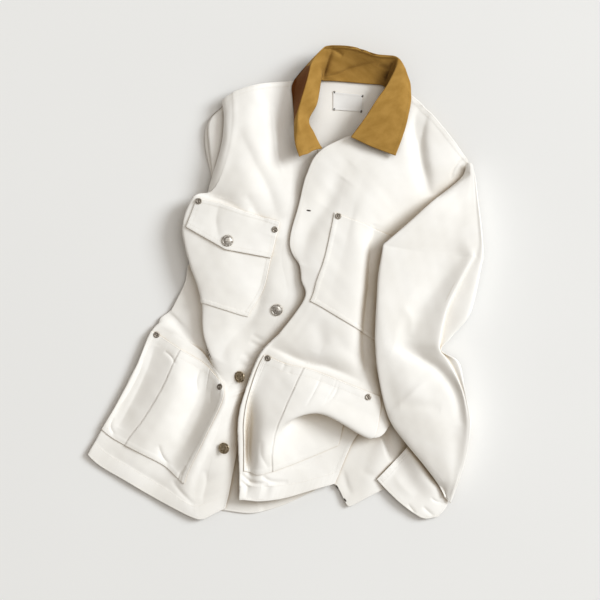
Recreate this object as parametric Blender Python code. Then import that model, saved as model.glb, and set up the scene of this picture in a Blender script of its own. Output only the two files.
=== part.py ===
# A barn jacket of heavy off-white cotton with a tan collar, dropped on its back on a flat surface.
# The wearer's right sleeve is folded under the body, the left one lies over the left front, bent
# at the elbow, with its cuff turned back. Millimetres in the tables, metres in the meshes. +Z is up,
# +Y points to the collar, and the origin is on the surface under the middle of the jacket.
import bpy
import numpy as np

# driving sizes, millimetres
bodyWall = 1.8          # body and sleeve cloth
pocketWall = 1.5        # pocket and flap cloth
collarWall = 3.0        # two layers of collar cloth with their interlining
labelWall = 0.6
sewnGap = 0.5           # between a piece and the panel that carries it
airGap = 1.4            # between layers that only lie on each other
softStep = 1.5          # how gradually a layer rises off the one below
pleatRise = 2.2         # the folded cloth of a pocket's pleat
pocketRise = 4.0        # highest piece sewn on the right front
leftPocketRise = 2.5    # highest piece sewn on the left front
layerSpread = 8.0       # reach of a bump below through the layer above it
heavySpread = 12.0      # the same for the back, which bridges the folded sleeve
buttonRadius = 9.5      # tack button
buttonHeight = 4.0
rivetRadius = 5.0
rivetHeight = 1.8
foldedHeight = 21.0     # the folded right sleeve
foldedLip = 2.2         # thickness of each cloth edge at its side
foldedLipWidth = 5.0
tuckedRows = 4          # rows and columns of the sleeve's edge that its hidden layers stay clear of
tuckedColumns = 2

# Each panel is a table: a row for each section down the garment, a point (x, y, z of the cloth's
# upper face) for each named line that runs through the sections.
frontRightColumns = ("side", "flank", "pocketOut", "middle", "pocketIn", "frontEdge")
frontRightRows = (
    ("shoulder", (-102, 293, 20), (-95, 298, 23), (-79, 307, 27), (-47, 317, 30), (-9, 323, 27),
     (46, 325, 21)),
    ("yoke", (-98, 261, 24), (-92, 261, 28), (-76, 262, 32), (-41, 267, 34), (-7, 274, 31),
     (31, 274, 24)),
    ("neckPoint", (-103, 219, 24), (-97, 219, 29), (-82, 216, 33), (-41, 213, 35), (2, 211, 31),
     (50, 213, 25)),
    ("armhole", (-116, 174, 22), (-111, 173, 28), (-98, 170, 32), (-52, 157, 36), (-4, 149, 33),
     (42, 158, 28)),
    ("underarm", (-124, 149, 14), (-122, 147, 20), (-116, 146, 28), (-63, 131, 35), (-7, 120, 33),
     (38, 123, 28)),
    ("flapTop", (-126, 125, 7), (-134, 131, 17), (-142, 136, 29), (-73, 117, 35), (-9, 96, 33),
     (33, 85, 28)),
    ("flapEdge", (-134, 75, 7), (-145, 83, 16), (-159, 90, 28), (-95, 53, 35), (-23, 40, 33),
     (23, 32, 26)),
    ("pocketMiddle", (-159, 30, 11), (-140, 22, 13), (-148, 30, 30), (-90, 10, 35), (-30, -6, 31),
     (18, -16, 22)),
    ("pocketBottom", (-194, -43, 8), (-126, -42, 10), (-132, -32, 28), (-97, -43, 30), (-60, -54, 25),
     (-2, -64, 18)),
    ("waist", (-206, -59, 7), (-169, -82, 8), (-132, -101, 9), (-122, -91, 22), (-79, -99, 17),
     (-25, -107, 14)),
    ("hip", (-209, -69, 4), (-199, -77, 8), (-158, -106, 9), (-122, -126, 9), (-102, -130, 17),
     (-44, -134, 12)),
    ("lowTop", (-209, -83, 2.6), (-215, -77, 9), (-172, -107, 11), (-130, -138, 10), (-102, -158, 12),
     (-57, -162, 11)),
    ("lowUpper", (-233, -144, 2.6), (-242, -139, 9), (-199, -176, 13), (-150, -194, 13), (-108, -206, 11),
     (-68, -213, 9)),
    ("lowLower", (-262, -197, 2.6), (-271, -194, 9), (-228, -221, 11), (-170, -248, 10), (-132, -254, 9),
     (-74, -270, 8)),
    ("lowBottom", (-286, -238, 2.6), (-295, -235, 8), (-254, -262, 8), (-201, -294, 8), (-162, -322, 9),
     (-92, -328, 8)),
    ("hem", (-306, -280, 2.6), (-318, -275, 7), (-273, -310, 6), (-217, -341, 6), (-161, -373, 7),
     (-97, -362, 6)),
)

frontLeftColumns = ("frontEdge", "placket", "pocketIn", "middle", "pocketOut", "side")
frontLeftRows = (
    ("shoulder", (180, 315, 22), (194, 306, 23), (210, 293, 23), (238, 266, 23), (265, 230, 21),
     (290, 198, 15)),
    ("neck", (135, 254, 29), (159, 246, 30), (183, 238, 30), (218, 219, 28), (249, 197, 24),
     (276, 174, 16)),
    ("neckPoint", (58, 213, 31), (81, 206, 35), (106, 197, 36), (161, 174, 34), (212, 152, 27),
     (257, 139, 20)),
    ("chestTop", (34, 174, 34), (58, 165, 37), (87, 154, 38), (142, 133, 36), (196, 114, 27),
     (241, 101, 20)),
    ("pocketTop", (22, 128, 36), (47, 120, 38), (78, 112, 39), (129, 93, 37), (186, 69, 26),
     (231, 59, 20)),
    ("pocketMiddle", (7, 59, 35), (31, 51, 38), (63, 43, 39), (110, 26, 37), (167, -2, 24),
     (215, -14, 20)),
    ("pocketLow", (36, 10, 30), (25, 8, 35), (50, 5, 39), (100, -13, 37), (161, -46, 24), (206, -59, 20)),
    ("pocketBottom", (57, -37, 26), (31, -24, 35), (39, -29, 37), (87, -58, 37), (151, -94, 24),
     (196, -110, 18)),
    ("waist", (23, -98, 22), (-7, -77, 31), (4, -82, 33), (65, -101, 34), (142, -136, 24),
     (186, -152, 18)),
    ("lowTop", (-9, -133, 19), (-41, -114, 27), (-34, -115, 29), (49, -141, 31), (153, -181, 29),
     (183, -187, 20)),
    ("lowUpper", (-34, -187, 16), (-65, -173, 25), (-58, -174, 27), (52, -176, 33), (151, -213, 32),
     (178, -205, 22)),
    ("foldOver", (-46, -235, 14), (-76, -219, 22), (-70, -219, 24), (52, -208, 30), (138, -248, 27),
     (167, -226, 19)),
    ("foldUnder", (-47, -270, 13), (-76, -262, 20), (-70, -262, 21), (42, -194, 17), (103, -219, 14),
     (138, -226, 12)),
    ("lowBottom", (-46, -306, 11), (-74, -301, 16), (-68, -301, 17), (18, -290, 11), (84, -261, 8),
     (110, -251, 7)),
    ("hem", (-46, -344, 8), (-74, -347, 11), (-68, -347, 12), (-1, -344, 8), (49, -330, 7),
     (79, -322, 7)),
)

backColumns = ("sideRight", "armRight", "yokeRight", "neckRight", "centre", "neckLeft", "yokeLeft", "armLeft", "sideLeft", "sideEdge")
backRows = (
    ("top", (-94, 288, 14), (-60, 306, 22), (4, 317, 20), (57, 322, 11), (97, 320, 9), (158, 314, 12),
     (190, 299, 16), (239, 259, 18), (279, 206, 12), (297, 184, 8)),
    ("yoke", (-89, 259, 17), (-57, 264, 21), (4, 272, 17), (55, 278, 9), (97, 275, 7), (142, 272, 9),
     (183, 259, 14), (228, 229, 14), (260, 187, 10), (281, 165, 7)),
    ("neckFront", (-92, 216, 12), (-57, 213, 12), (2, 211, 10), (52, 214, 6), (94, 214, 4), (138, 211, 5),
     (180, 200, 6), (218, 178, 6), (247, 149, 6), (266, 126, 5)),
    ("chest", (-106, 133, 0), (-73, 131, 0), (-18, 131, 0), (34, 131, 0), (81, 131, 0), (124, 131, 0),
     (164, 128, 0), (199, 122, 0), (228, 109, 0), (247, 91, 0)),
    ("ribs", (-114, 34, 0), (-82, 34, 0), (-28, 34, 0), (26, 34, 0), (74, 34, 0), (119, 34, 0),
     (161, 34, 0), (196, 34, 0), (223, 34, 0), (241, 34, 0)),
    ("waist", (-153, -59, 0), (-108, -66, 0), (-47, -69, 0), (14, -70, 0), (68, -72, 0), (113, -72, 0),
     (154, -72, 0), (190, -72, 0), (218, -72, 0), (236, -72, 0)),
    ("hip", (-196, -146, 0), (-146, -165, 0), (-82, -176, 0), (-18, -178, 0), (39, -176, 0),
     (87, -171, 0), (132, -166, 0), (174, -165, 0), (206, -165, 0), (222, -165, 0)),
    ("seat", (-249, -235, 0), (-193, -264, 0), (-127, -277, 0), (-66, -283, 0), (-9, -283, 0),
     (46, -274, 2), (92, -262, 4), (121, -254, 4), (145, -261, 3), (169, -278, 2)),
    ("hem", (-295, -285, 0), (-236, -322, 0), (-169, -362, 0), (-106, -365, 2.5), (-54, -370, 3.5),
     (-7, -358, 4), (36, -341, 3), (79, -325, 7), (102, -360, 7), (159, -331, 3)),
)

sleeveLeftColumns = ("frontFold", "crest", "middle", "slope", "backFold")
sleeveLeftRows = (
    ("cap", (284, 190, 20), (289, 192, 21), (292, 194, 21), (295, 195, 19), (298, 194, 14)),
    ("capFold", (287, 170, 31), (292, 170, 32), (295, 168, 31), (300, 168, 25), (305, 165, 14)),
    ("upper1", (258, 150, 41), (273, 146, 43), (286, 141, 39), (300, 136, 28), (311, 128, 12)),
    ("upper2", (228, 126, 47), (249, 120, 49), (271, 112, 43), (295, 104, 29), (316, 94, 10)),
    ("upper3", (194, 98, 51), (223, 90, 53), (255, 82, 47), (289, 72, 30), (318, 64, 10)),
    ("bend", (158, 62, 53), (193, 58, 55), (234, 50, 48), (279, 42, 31), (316, 34, 10)),
    ("lower1", (148, 13, 53), (180, 10, 55), (222, 3, 48), (265, -3, 33), (305, -11, 11)),
    ("lower2", (143, -35, 53), (170, -38, 55), (209, -43, 48), (247, -50, 33), (286, -56, 11)),
    ("elbow", (143, -83, 51), (166, -88, 53), (196, -93, 46), (226, -96, 32), (257, -96, 14)),
    ("elbowEnd", (146, -131, 47), (169, -130, 49), (201, -126, 42), (234, -126, 32), (262, -134, 16)),
    ("forearm1", (153, -176, 41), (180, -174, 44), (217, -171, 41), (254, -170, 30), (286, -174, 14)),
    ("forearm2", (166, -219, 35), (191, -214, 39), (228, -211, 37), (263, -211, 27), (295, -219, 12)),
    ("forearm3", (188, -251, 31), (210, -246, 35), (241, -245, 33), (270, -246, 24), (294, -253, 11)),
    ("forearm4", (217, -286, 27), (233, -282, 31), (252, -280, 29), (271, -280, 21), (286, -282, 10)),
    ("turn1", (242, -318, 23), (250, -315, 26), (260, -314, 24), (270, -314, 18), (278, -315, 9)),
    ("turn2", (254, -342, 17), (257, -344, 19), (260, -346, 18), (263, -347, 14), (265, -349, 8)),
    ("turnEnd", (241, -370, 9), (242, -373, 10), (244, -376, 10), (244, -378, 9), (244, -381, 7)),
)

cuffColumns = ("turn", "foldInner", "fold", "middle", "slitInner", "slit")
cuffRows = (
    ("rim", (242, -378, 7), (223, -378, 10), (204, -368, 11), (183, -352, 11), (164, -334, 10),
     (146, -315, 8)),
    ("face", (249, -365, 9), (236, -360, 12), (220, -349, 15), (201, -331, 16), (183, -312, 15),
     (167, -293, 12)),
    ("inner", (255, -352, 9), (244, -346, 11), (233, -331, 13), (218, -312, 14), (202, -291, 14),
     (188, -270, 12)),
    ("hidden", (262, -346, 7), (257, -338, 8), (249, -323, 9), (236, -304, 10), (220, -283, 10),
     (202, -261, 9)),
)

collarColumns = ("neck", "stand", "ridge", "fall", "edge")
collarRows = (
    ("rightEnd", (58, 216, 28), (49, 213, 34), (39, 208, 41), (30, 203, 47), (22, 200, 51)),
    ("rightFront", (47, 238, 27), (38, 234, 37), (28, 230, 45), (20, 227, 50), (15, 226, 51)),
    ("rightTurn", (38, 259, 25), (28, 262, 37), (18, 264, 47), (14, 266, 44), (12, 267, 36)),
    ("rightSide", (46, 285, 22), (38, 290, 37), (26, 294, 47), (15, 296, 39), (9, 298, 28)),
    ("rightBack", (52, 304, 20), (44, 315, 35), (33, 322, 45), (20, 318, 35), (9, 315, 24)),
    ("rightCorner", (57, 323, 17), (50, 339, 29), (41, 352, 39), (33, 344, 28), (26, 336, 20)),
    ("backRight", (68, 325, 15), (66, 350, 24), (65, 378, 32), (62, 362, 19), (60, 347, 10)),
    ("backMiddle", (97, 323, 13), (100, 349, 21), (105, 377, 28), (105, 362, 15), (103, 346, 7)),
    ("backLeft", (129, 320, 14), (135, 339, 22), (143, 365, 29), (145, 350, 17), (143, 336, 9)),
    ("leftCorner", (158, 317, 17), (167, 334, 26), (178, 357, 34), (188, 347, 28), (193, 331, 20)),
    ("leftBack", (159, 296, 25), (159, 306, 31), (164, 318, 39), (183, 309, 37), (201, 298, 29)),
    ("leftSide", (146, 277, 30), (143, 282, 36), (145, 291, 43), (170, 280, 42), (196, 266, 36)),
    ("leftFront", (130, 256, 33), (126, 258, 38), (126, 259, 45), (156, 245, 45), (188, 237, 41)),
    ("leftEnd", (110, 235, 35), (105, 234, 39), (103, 232, 45), (137, 216, 46), (175, 202, 44)),
)

sleeveRightColumns = ("outer", "inner")
sleeveRightRows = (
    ("cap", (-100, 286, 0), (7, 277, 0)),
    ("armTop", (-124, 261, 0), (10, 248, 0)),
    ("arm", (-127, 221, 0), (12, 197, 0)),
    ("bicep", (-118, 165, 0), (14, 133, 0)),
    ("elbow", (-102, 85, 0), (17, 61, 0)),
    ("forearm", (-92, -3, 0), (10, -11, 0)),
    ("wrist", (-82, -75, 0), (-2, -75, 0)),
)

labelColumns = ("right", "left")
labelRows = (
    ("top", (76, 307, 0), (124, 302, 0)),
    ("bottom", (76, 278, 0), (123, 275, 0)),
)

# tack buttons and rivets: the piece that carries each one, and its place
buttonRows = (
    ("button_flap", "flap", -92, 67),
    ("button_chest", "front", -14, -43),
    ("button_waist", "front", -73, -150),
    ("button_hem", "front", -98, -264),
)
rivetRows = (
    ("rivet_flap_outer", "flap", -138, 130),
    ("rivet_flap_inner", "flap", -17, 85),
    ("rivet_chest_left", "chestLeft", 84, 106),
    ("rivet_right_outer", "pocketRight", -207, -83),
    ("rivet_right_inner", "pocketRight", -105, -166),
    ("rivet_left_inner", "pocketLeft", -28, -120),
    ("rivet_left_outer", "pocketLeft", 132, -182),
)

# Folds: a crest or a valley along three points, its rise (negative for a valley) and how far it
# spreads to the left and to the right of that direction, all in millimetres.
foldColumns = ("panel", "start", "middle", "end", "rise", "left", "right")
foldRows = (
    ("frontRight", (-72, 230), (-48, 186), (-22, 120), -5, 14, 22),
    ("frontRight", (-15, 66), (-40, -10), (-100, -98), -6, 18, 26),
    ("frontRight", (-104, 135), (-82, 128), (-60, 116), -4, 10, 14),
    ("frontRight", (-204, -44), (-184, -90), (-122, -136), -4, 14, 12),
    ("frontRight", (-216, -112), (-224, -144), (-240, -190), -4, 16, 12),
    ("frontRight", (-130, -150), (-140, -220), (-158, -290), -4, 18, 14),
    ("frontLeft", (106, 200), (86, 156), (24, 36), -6, 20, 22),
    ("frontLeft", (216, 272), (216, 216), (258, 150), -9, 14, 16),
    ("frontLeft", (-16, -108), (40, -124), (116, -150), -4, 20, 12),
    ("sleeveLeft", (306, 60), (256, -12), (242, -92), -10, 10, 34),
    ("sleeveLeft", (178, -108), (248, -142), (288, -236), -10, 12, 24),
    ("sleeveLeft", (196, -176), (236, -186), (262, -200), -3, 16, 16),
)

# each material's colour, roughness and metallic share
finishes = {
    "cloth": ((0.90, 0.87, 0.81), 0.9, 0.0),
    "collarCloth": ((0.40, 0.24, 0.07), 0.9, 0.0),
    "labelCloth": ((0.88, 0.87, 0.84), 0.8, 0.0),
    "metal": ((0.55, 0.50, 0.45), 0.35, 1.0),
}


def splitSpans(net, steps, axis):
    # smooth curve (Catmull-Rom) through the rows of a net, each span cut in equal steps
    net = np.moveaxis(net, axis, 0)
    before = 2 * net[0] - net[1]
    after = 2 * net[-1] - net[-2]
    knots = np.concatenate([before[None], net, after[None]])
    lines = []
    for span in range(len(net) - 1):
        a, b, c, d = knots[span:span + 4]
        for step in range(steps):
            t = step / steps
            lines.append(0.5 * (2 * b + (c - a) * t + (2 * a - 5 * b + 4 * c - d) * t ** 2
                                + (3 * b - 3 * c + d - a) * t ** 3))
    lines.append(net[-1])
    return np.moveaxis(np.array(lines), 0, axis)


def gridOf(rows, columnSteps, rowSteps):
    net = np.array([row[1:] for row in rows], dtype=float)
    return splitSpans(splitSpans(net, rowSteps, 0), columnSteps, 1)


def curveThrough(points, steps):
    net = np.array(points, dtype=float)
    return splitSpans(net[:, None], steps, 0)[:, 0]


def foldRise(x, y, fold):
    # height that one fold adds at each place: a soft ridge that fades at both ends
    panel, start, middle, end, rise, left, right = fold
    path = curveThrough((start, middle, end), 8)
    best = np.full(x.shape, np.inf)
    side = np.zeros(x.shape)
    along = np.zeros(x.shape)
    for k in range(len(path) - 1):
        a = path[k]
        run = path[k + 1] - a
        t = np.clip(((x - a[0]) * run[0] + (y - a[1]) * run[1]) / (run @ run), 0, 1)
        dx = x - a[0] - t * run[0]
        dy = y - a[1] - t * run[1]
        gap = np.hypot(dx, dy)
        nearer = gap < best
        best = np.where(nearer, gap, best)
        side = np.where(nearer, run[0] * dy - run[1] * dx, side)
        along = np.where(nearer, (k + t) / (len(path) - 1), along)
    spread = np.where(side > 0, left, right)
    return rise * np.sin(np.pi * np.clip(along, 0, 1)) ** 0.7 * np.exp(-(best / spread) ** 2)


def addFolds(points, panel):
    for fold in foldRows:
        if fold[0] == panel:
            points[..., 2] += foldRise(points[..., 0], points[..., 1], fold)
    return points


def normalsOf(points):
    down = np.gradient(points, axis=0)
    across = np.gradient(points, axis=1)
    normal = np.cross(down, across)
    return normal / np.linalg.norm(normal, axis=2, keepdims=True)


def softHigher(value, low):
    # the larger of two heights, with a soft change from one to the other
    return 0.5 * (value + low + np.sqrt((value - low) ** 2 + softStep ** 2))


class Pile:
    # height of everything laid down so far, on a square grid
    cell = 4.0
    reach = 420.0

    def __init__(self):
        count = int(2 * self.reach / self.cell) + 1
        self.height = np.zeros((count, count))

    def add(self, points, extra=0.0):
        spans = np.linspace(0.0, 1.0, 7)
        for u in spans:
            for v in spans:
                at = ((1 - u) * (1 - v) * points[:-1, :-1] + (1 - u) * v * points[:-1, 1:]
                      + u * (1 - v) * points[1:, :-1] + u * v * points[1:, 1:]).reshape(-1, 3)
                i = np.rint((at[:, 0] + self.reach) / self.cell).astype(int)
                j = np.rint((at[:, 1] + self.reach) / self.cell).astype(int)
                np.maximum.at(self.height, (i, j), at[:, 2] + extra)

    def under(self, x, y, spread):
        # highest point within spread of each place
        top = self.height
        for turn in range(int(np.ceil(spread / self.cell))):
            wide = np.pad(top, 1, mode="edge")
            top = np.max([wide[1 + a:wide.shape[0] - 1 + a, 1 + b:wide.shape[1] - 1 + b]
                          for a in (-1, 0, 1) for b in (-1, 0, 1)], axis=0)
        i = np.clip((x + self.reach) / self.cell, 0, top.shape[0] - 1.001)
        j = np.clip((y + self.reach) / self.cell, 0, top.shape[1] - 1.001)
        i0 = i.astype(int)
        j0 = j.astype(int)
        u = i - i0
        v = j - j0
        return ((1 - u) * (1 - v) * top[i0, j0] + u * (1 - v) * top[i0 + 1, j0]
                + (1 - u) * v * top[i0, j0 + 1] + u * v * top[i0 + 1, j0 + 1])


def layOn(pile, points, wall, spread):
    # lifts a panel clear of what it lies on, and leaves it as it is where nothing is below
    below = pile.under(points[..., 0], points[..., 1], spread)
    lifted = softHigher(points[..., 2], below + airGap + wall)
    points[..., 2] = np.where(below > 0, lifted, np.maximum(points[..., 2], wall))
    return points


def newMaterial(name):
    colour, roughness, metallic = finishes[name]
    material = bpy.data.materials.new(name)
    material.use_nodes = True
    shader = material.node_tree.nodes["Principled BSDF"]
    shader.inputs["Base Color"].default_value = (*colour, 1.0)
    shader.inputs["Roughness"].default_value = roughness
    shader.inputs["Metallic"].default_value = metallic
    return material


def newObject(name, points, faces, finish):
    mesh = bpy.data.meshes.new(name)
    mesh.from_pydata([tuple(p) for p in np.asarray(points) * 0.001], [], faces)
    mesh.materials.append(newMaterial(finish))
    mesh.shade_smooth()
    mesh.set_sharp_from_angle(angle=0.7)
    bpy.context.scene.collection.objects.link(bpy.data.objects.new(name, mesh))


def wallFaces(rows, columns):
    # two grids, one above the other, closed round the rim, in triangles
    count = rows * columns
    faces = []
    for r in range(rows - 1):
        for c in range(columns - 1):
            a = r * columns + c
            b = a + 1
            d = a + columns
            e = d + 1
            faces += [(a, d, b), (b, d, e)]
            faces += [(count + a, count + b, count + d), (count + b, count + e, count + d)]
    rim = list(range(columns))
    rim += [r * columns + columns - 1 for r in range(1, rows)]
    rim += [(rows - 1) * columns + c for c in range(columns - 2, -1, -1)]
    rim += [r * columns for r in range(rows - 2, 0, -1)]
    for k, a in enumerate(rim):
        b = rim[(k + 1) % len(rim)]
        faces += [(a, b, count + a), (b, count + b, count + a)]
    return faces


def wallBetween(name, top, bottom, finish):
    rows, columns = top.shape[:2]
    points = np.concatenate([top.reshape(-1, 3), bottom.reshape(-1, 3)])
    newObject(name, points, wallFaces(rows, columns), finish)


def clothWall(name, top, wall, finish):
    wallBetween(name, top, top - normalsOf(top) * wall, finish)


def panelPart(rows, columnNames, steps, firstRow, lastRow, firstColumn, lastColumn):
    # index ranges of a panel's grid between two named sections and two named lines
    rowNames = [row[0] for row in rows]
    columnSteps, rowSteps = steps
    return (slice(rowNames.index(firstRow) * rowSteps, rowNames.index(lastRow) * rowSteps + 1),
            slice(columnNames.index(firstColumn) * columnSteps,
                  columnNames.index(lastColumn) * columnSteps + 1))


def sewnOn(name, panel, part, lift, wall, pleat=None):
    # a piece that repeats the points of the panel that carries it, moved out; the columns of a
    # pleat are raised further
    out = normalsOf(panel)[part]
    base = panel[part] + out * lift
    rise = np.full(base.shape[1], wall)
    if pleat:
        rise[pleat[0]:pleat[1]] += pleatRise
    top = base + out * rise[:, None]
    wallBetween(name, top, base, "cloth")
    return top


def turnedPiece(name, profile, centre, axis, sides):
    # a round metal piece from a profile of (radius, height) pairs, bottom to top
    side = np.cross(axis, (0.0, 1.0, 0.0))
    side /= np.linalg.norm(side)
    front = np.cross(axis, side)
    angles = np.arange(sides)[:, None] * 2 * np.pi / sides
    spokes = np.cos(angles) * side + np.sin(angles) * front
    rings = [centre + height * axis + radius * spokes for radius, height in profile]
    ends = [centre + profile[0][1] * axis, centre + profile[-1][1] * axis]
    points = np.concatenate(rings + [ends])
    faces = []
    for ring in range(len(profile) - 1):
        for k in range(sides):
            a = ring * sides + k
            b = ring * sides + (k + 1) % sides
            faces += [(a, b, a + sides), (b, b + sides, a + sides)]
    low = len(points) - 2
    last = (len(profile) - 1) * sides
    for k in range(sides):
        faces.append((low, (k + 1) % sides, k))
        faces.append((low + 1, last + k, last + (k + 1) % sides))
    newObject(name, points, faces, "metal")


def fastener(name, panel, place, radius, height, sides):
    # a domed disc, square to the cloth below it and clear of it
    x, y = place
    facing = normalsOf(panel)[..., 2] > 0.3
    gap = np.hypot(panel[..., 0] - x, panel[..., 1] - y) + np.where(facing, 0, np.inf)
    r, c = np.unravel_index(np.argmin(gap), gap.shape)
    near = panel[max(r - 1, 0):r + 2, max(c - 1, 0):c + 2].reshape(-1, 3)
    slope = np.linalg.lstsq(np.c_[near[:, :2], np.ones(len(near))], near[:, 2], rcond=None)[0]
    axis = np.array([-slope[0], -slope[1], 1.0])
    axis /= np.linalg.norm(axis)
    around = panel[gap < radius + heavySpread]
    over = around[:, 2] - np.c_[around[:, :2], np.ones(len(around))] @ slope
    level = np.array([x, y, 1.0]) @ slope + max(0.0, over.max())
    profile = ((radius * 0.8, 0.0), (radius, height * 0.35), (radius * 0.92, height * 0.8),
               (radius * 0.6, height))
    turnedPiece(name, profile, np.array([x, y, level + sewnGap]), axis, sides)


def foldedSleeve(name, rows, finish):
    # flat below, rounded above, with its two cloth edges showing at each side
    lines = gridOf(rows, 1, 2)
    shoulder = foldedLip * 2 + 1
    sections = []
    for k, (left, right) in enumerate(lines):
        across = right - left
        width = np.linalg.norm(across)
        across = across / width
        share = min(1.0, 0.35 + 0.65 * np.sin(np.pi * (k + 0.5) / len(lines)) ** 0.5)
        rise = foldedHeight * share - shoulder
        profile = [(0, 0), (0, foldedLip), (foldedLipWidth, foldedLip + 0.5)]
        profile += [(width * s, shoulder + rise * (1 - abs(2 * s - 1) ** 2.4))
                    for s in np.linspace(0.0, 1.0, 9)]
        profile += [(width - foldedLipWidth, foldedLip + 0.5), (width, foldedLip), (width, 0),
                    (width * 0.5, 0)]
        sections.append([left + across * a + np.array([0, 0, b]) for a, b in profile])
    sections = np.array(sections)
    count = sections.shape[1]
    faces = []
    for r in range(len(sections) - 1):
        for c in range(count):
            a = r * count + c
            b = r * count + (c + 1) % count
            faces += [(a, a + count, b), (b, a + count, b + count)]
    last = (len(sections) - 1) * count
    faces.append(tuple(range(count)))
    faces.append(tuple(last + c for c in range(count - 1, -1, -1)))
    newObject(name, sections.reshape(-1, 3), faces, finish)
    return sections[:, 3:12]


def buildBack(pile):
    pile.add(foldedSleeve("sleeve_right", sleeveRightRows, "cloth"))
    rear = layOn(pile, gridOf(backRows, 2, 3), bodyWall, heavySpread)
    clothWall("back", rear, bodyWall, "cloth")
    pile.add(rear)


def buildFronts(pile):
    steps = (3, 2)
    right = addFolds(gridOf(frontRightRows, *steps), "frontRight")
    right = layOn(pile, right, bodyWall, layerSpread)
    clothWall("front_right", right, bodyWall, "cloth")
    table = (frontRightRows, frontRightColumns, steps)
    chest = panelPart(*table, "flapTop", "pocketBottom", "pocketOut", "pocketIn")
    sewnOn("chest_pocket_right", right, chest, sewnGap, pocketWall)
    flap = panelPart(*table, "flapTop", "flapEdge", "pocketOut", "pocketIn")
    flapTop = sewnOn("flap_right", right, flap, sewnGap * 2 + pocketWall, pocketWall)
    low = panelPart(*table, "lowTop", "lowBottom", "flank", "pocketIn")
    lowRight = sewnOn("lower_pocket_right", right, low, sewnGap, pocketWall, pleat=(3, 7))
    pile.add(right, pocketRise)

    left = addFolds(gridOf(frontLeftRows, *steps), "frontLeft")
    left = layOn(pile, left, bodyWall, layerSpread)
    clothWall("front_left", left, bodyWall, "cloth")
    table = (frontLeftRows, frontLeftColumns, steps)
    chest = panelPart(*table, "pocketTop", "pocketBottom", "pocketIn", "pocketOut")
    chestLeft = sewnOn("chest_pocket_left", left, chest, sewnGap, pocketWall)
    low = panelPart(*table, "lowTop", "lowBottom", "pocketIn", "pocketOut")
    lowLeft = sewnOn("lower_pocket_left", left, low, sewnGap, pocketWall, pleat=(2, 5))
    pile.add(left, leftPocketRise)
    return {"front": right, "flap": flapTop, "pocketRight": lowRight, "pocketLeft": lowLeft,
            "chestLeft": chestLeft}


def buildLabel(pile):
    tag = gridOf(labelRows, 4, 3)
    tag[..., 2] = pile.under(tag[..., 0], tag[..., 1], layerSpread) + sewnGap + labelWall
    clothWall("label", tag, labelWall, "labelCloth")


def buildLeftSleeve(pile):
    turned = layOn(pile, gridOf(cuffRows, 2, 3), bodyWall, layerSpread)
    clothWall("cuff_left", turned, bodyWall, "cloth")
    pile.add(turned)
    arm = addFolds(gridOf(sleeveLeftRows, 3, 2), "sleeveLeft")
    arm = layOn(pile, arm, bodyWall, layerSpread)
    clothWall("sleeve_left", arm, bodyWall, "cloth")
    inner = arm - normalsOf(arm) * (bodyWall + airGap)
    inner = inner[tuckedRows:-tuckedRows, tuckedColumns:-tuckedColumns]
    low = pile.under(inner[..., 0], inner[..., 1], heavySpread)
    base = inner.copy()
    base[..., 2] = np.where(low > 0, low + airGap, 0.0)
    wallBetween("sleeve_left_under", inner, base, "cloth")


def buildCollar(pile):
    neck = layOn(pile, gridOf(collarRows, 2, 3), collarWall, layerSpread)
    clothWall("collar", neck, collarWall, "collarCloth")


def buildJacket():
    pile = Pile()
    buildBack(pile)
    carriers = buildFronts(pile)
    buildLabel(pile)
    buildLeftSleeve(pile)
    buildCollar(pile)
    for name, carrier, x, y in buttonRows:
        fastener(name, carriers[carrier], (x, y), buttonRadius, buttonHeight, 14)
    for name, carrier, x, y in rivetRows:
        fastener(name, carriers[carrier], (x, y), rivetRadius, rivetHeight, 10)


for old in list(bpy.data.objects):
    bpy.data.objects.remove(old, do_unlink=True)
buildJacket()
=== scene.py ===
# A barn jacket of heavy off-white cotton with a tan collar, dropped on its back on a pale floor.
# The right sleeve is folded under the body, the left one is bent over the left front.
# Tables and sizes are millimetres, meshes are metres.
import math
import bpy
import numpy as np
from mathutils import Matrix, Vector


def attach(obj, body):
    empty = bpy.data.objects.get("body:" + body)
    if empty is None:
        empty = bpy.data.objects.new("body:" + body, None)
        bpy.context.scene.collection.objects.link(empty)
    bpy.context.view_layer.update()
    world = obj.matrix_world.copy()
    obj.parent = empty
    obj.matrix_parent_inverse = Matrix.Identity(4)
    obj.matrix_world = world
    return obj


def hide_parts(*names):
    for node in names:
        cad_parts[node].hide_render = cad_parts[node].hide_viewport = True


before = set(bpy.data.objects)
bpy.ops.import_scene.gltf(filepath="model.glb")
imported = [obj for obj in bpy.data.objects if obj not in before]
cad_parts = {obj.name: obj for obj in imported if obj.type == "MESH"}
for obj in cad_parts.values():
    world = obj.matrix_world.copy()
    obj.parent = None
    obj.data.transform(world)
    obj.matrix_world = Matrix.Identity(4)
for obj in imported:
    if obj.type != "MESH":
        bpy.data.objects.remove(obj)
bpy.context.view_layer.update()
mm = 0.001
coarser = 1.0    # a quick draft has larger cells
print("frame loaded:", len(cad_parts), "nodes")

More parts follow.
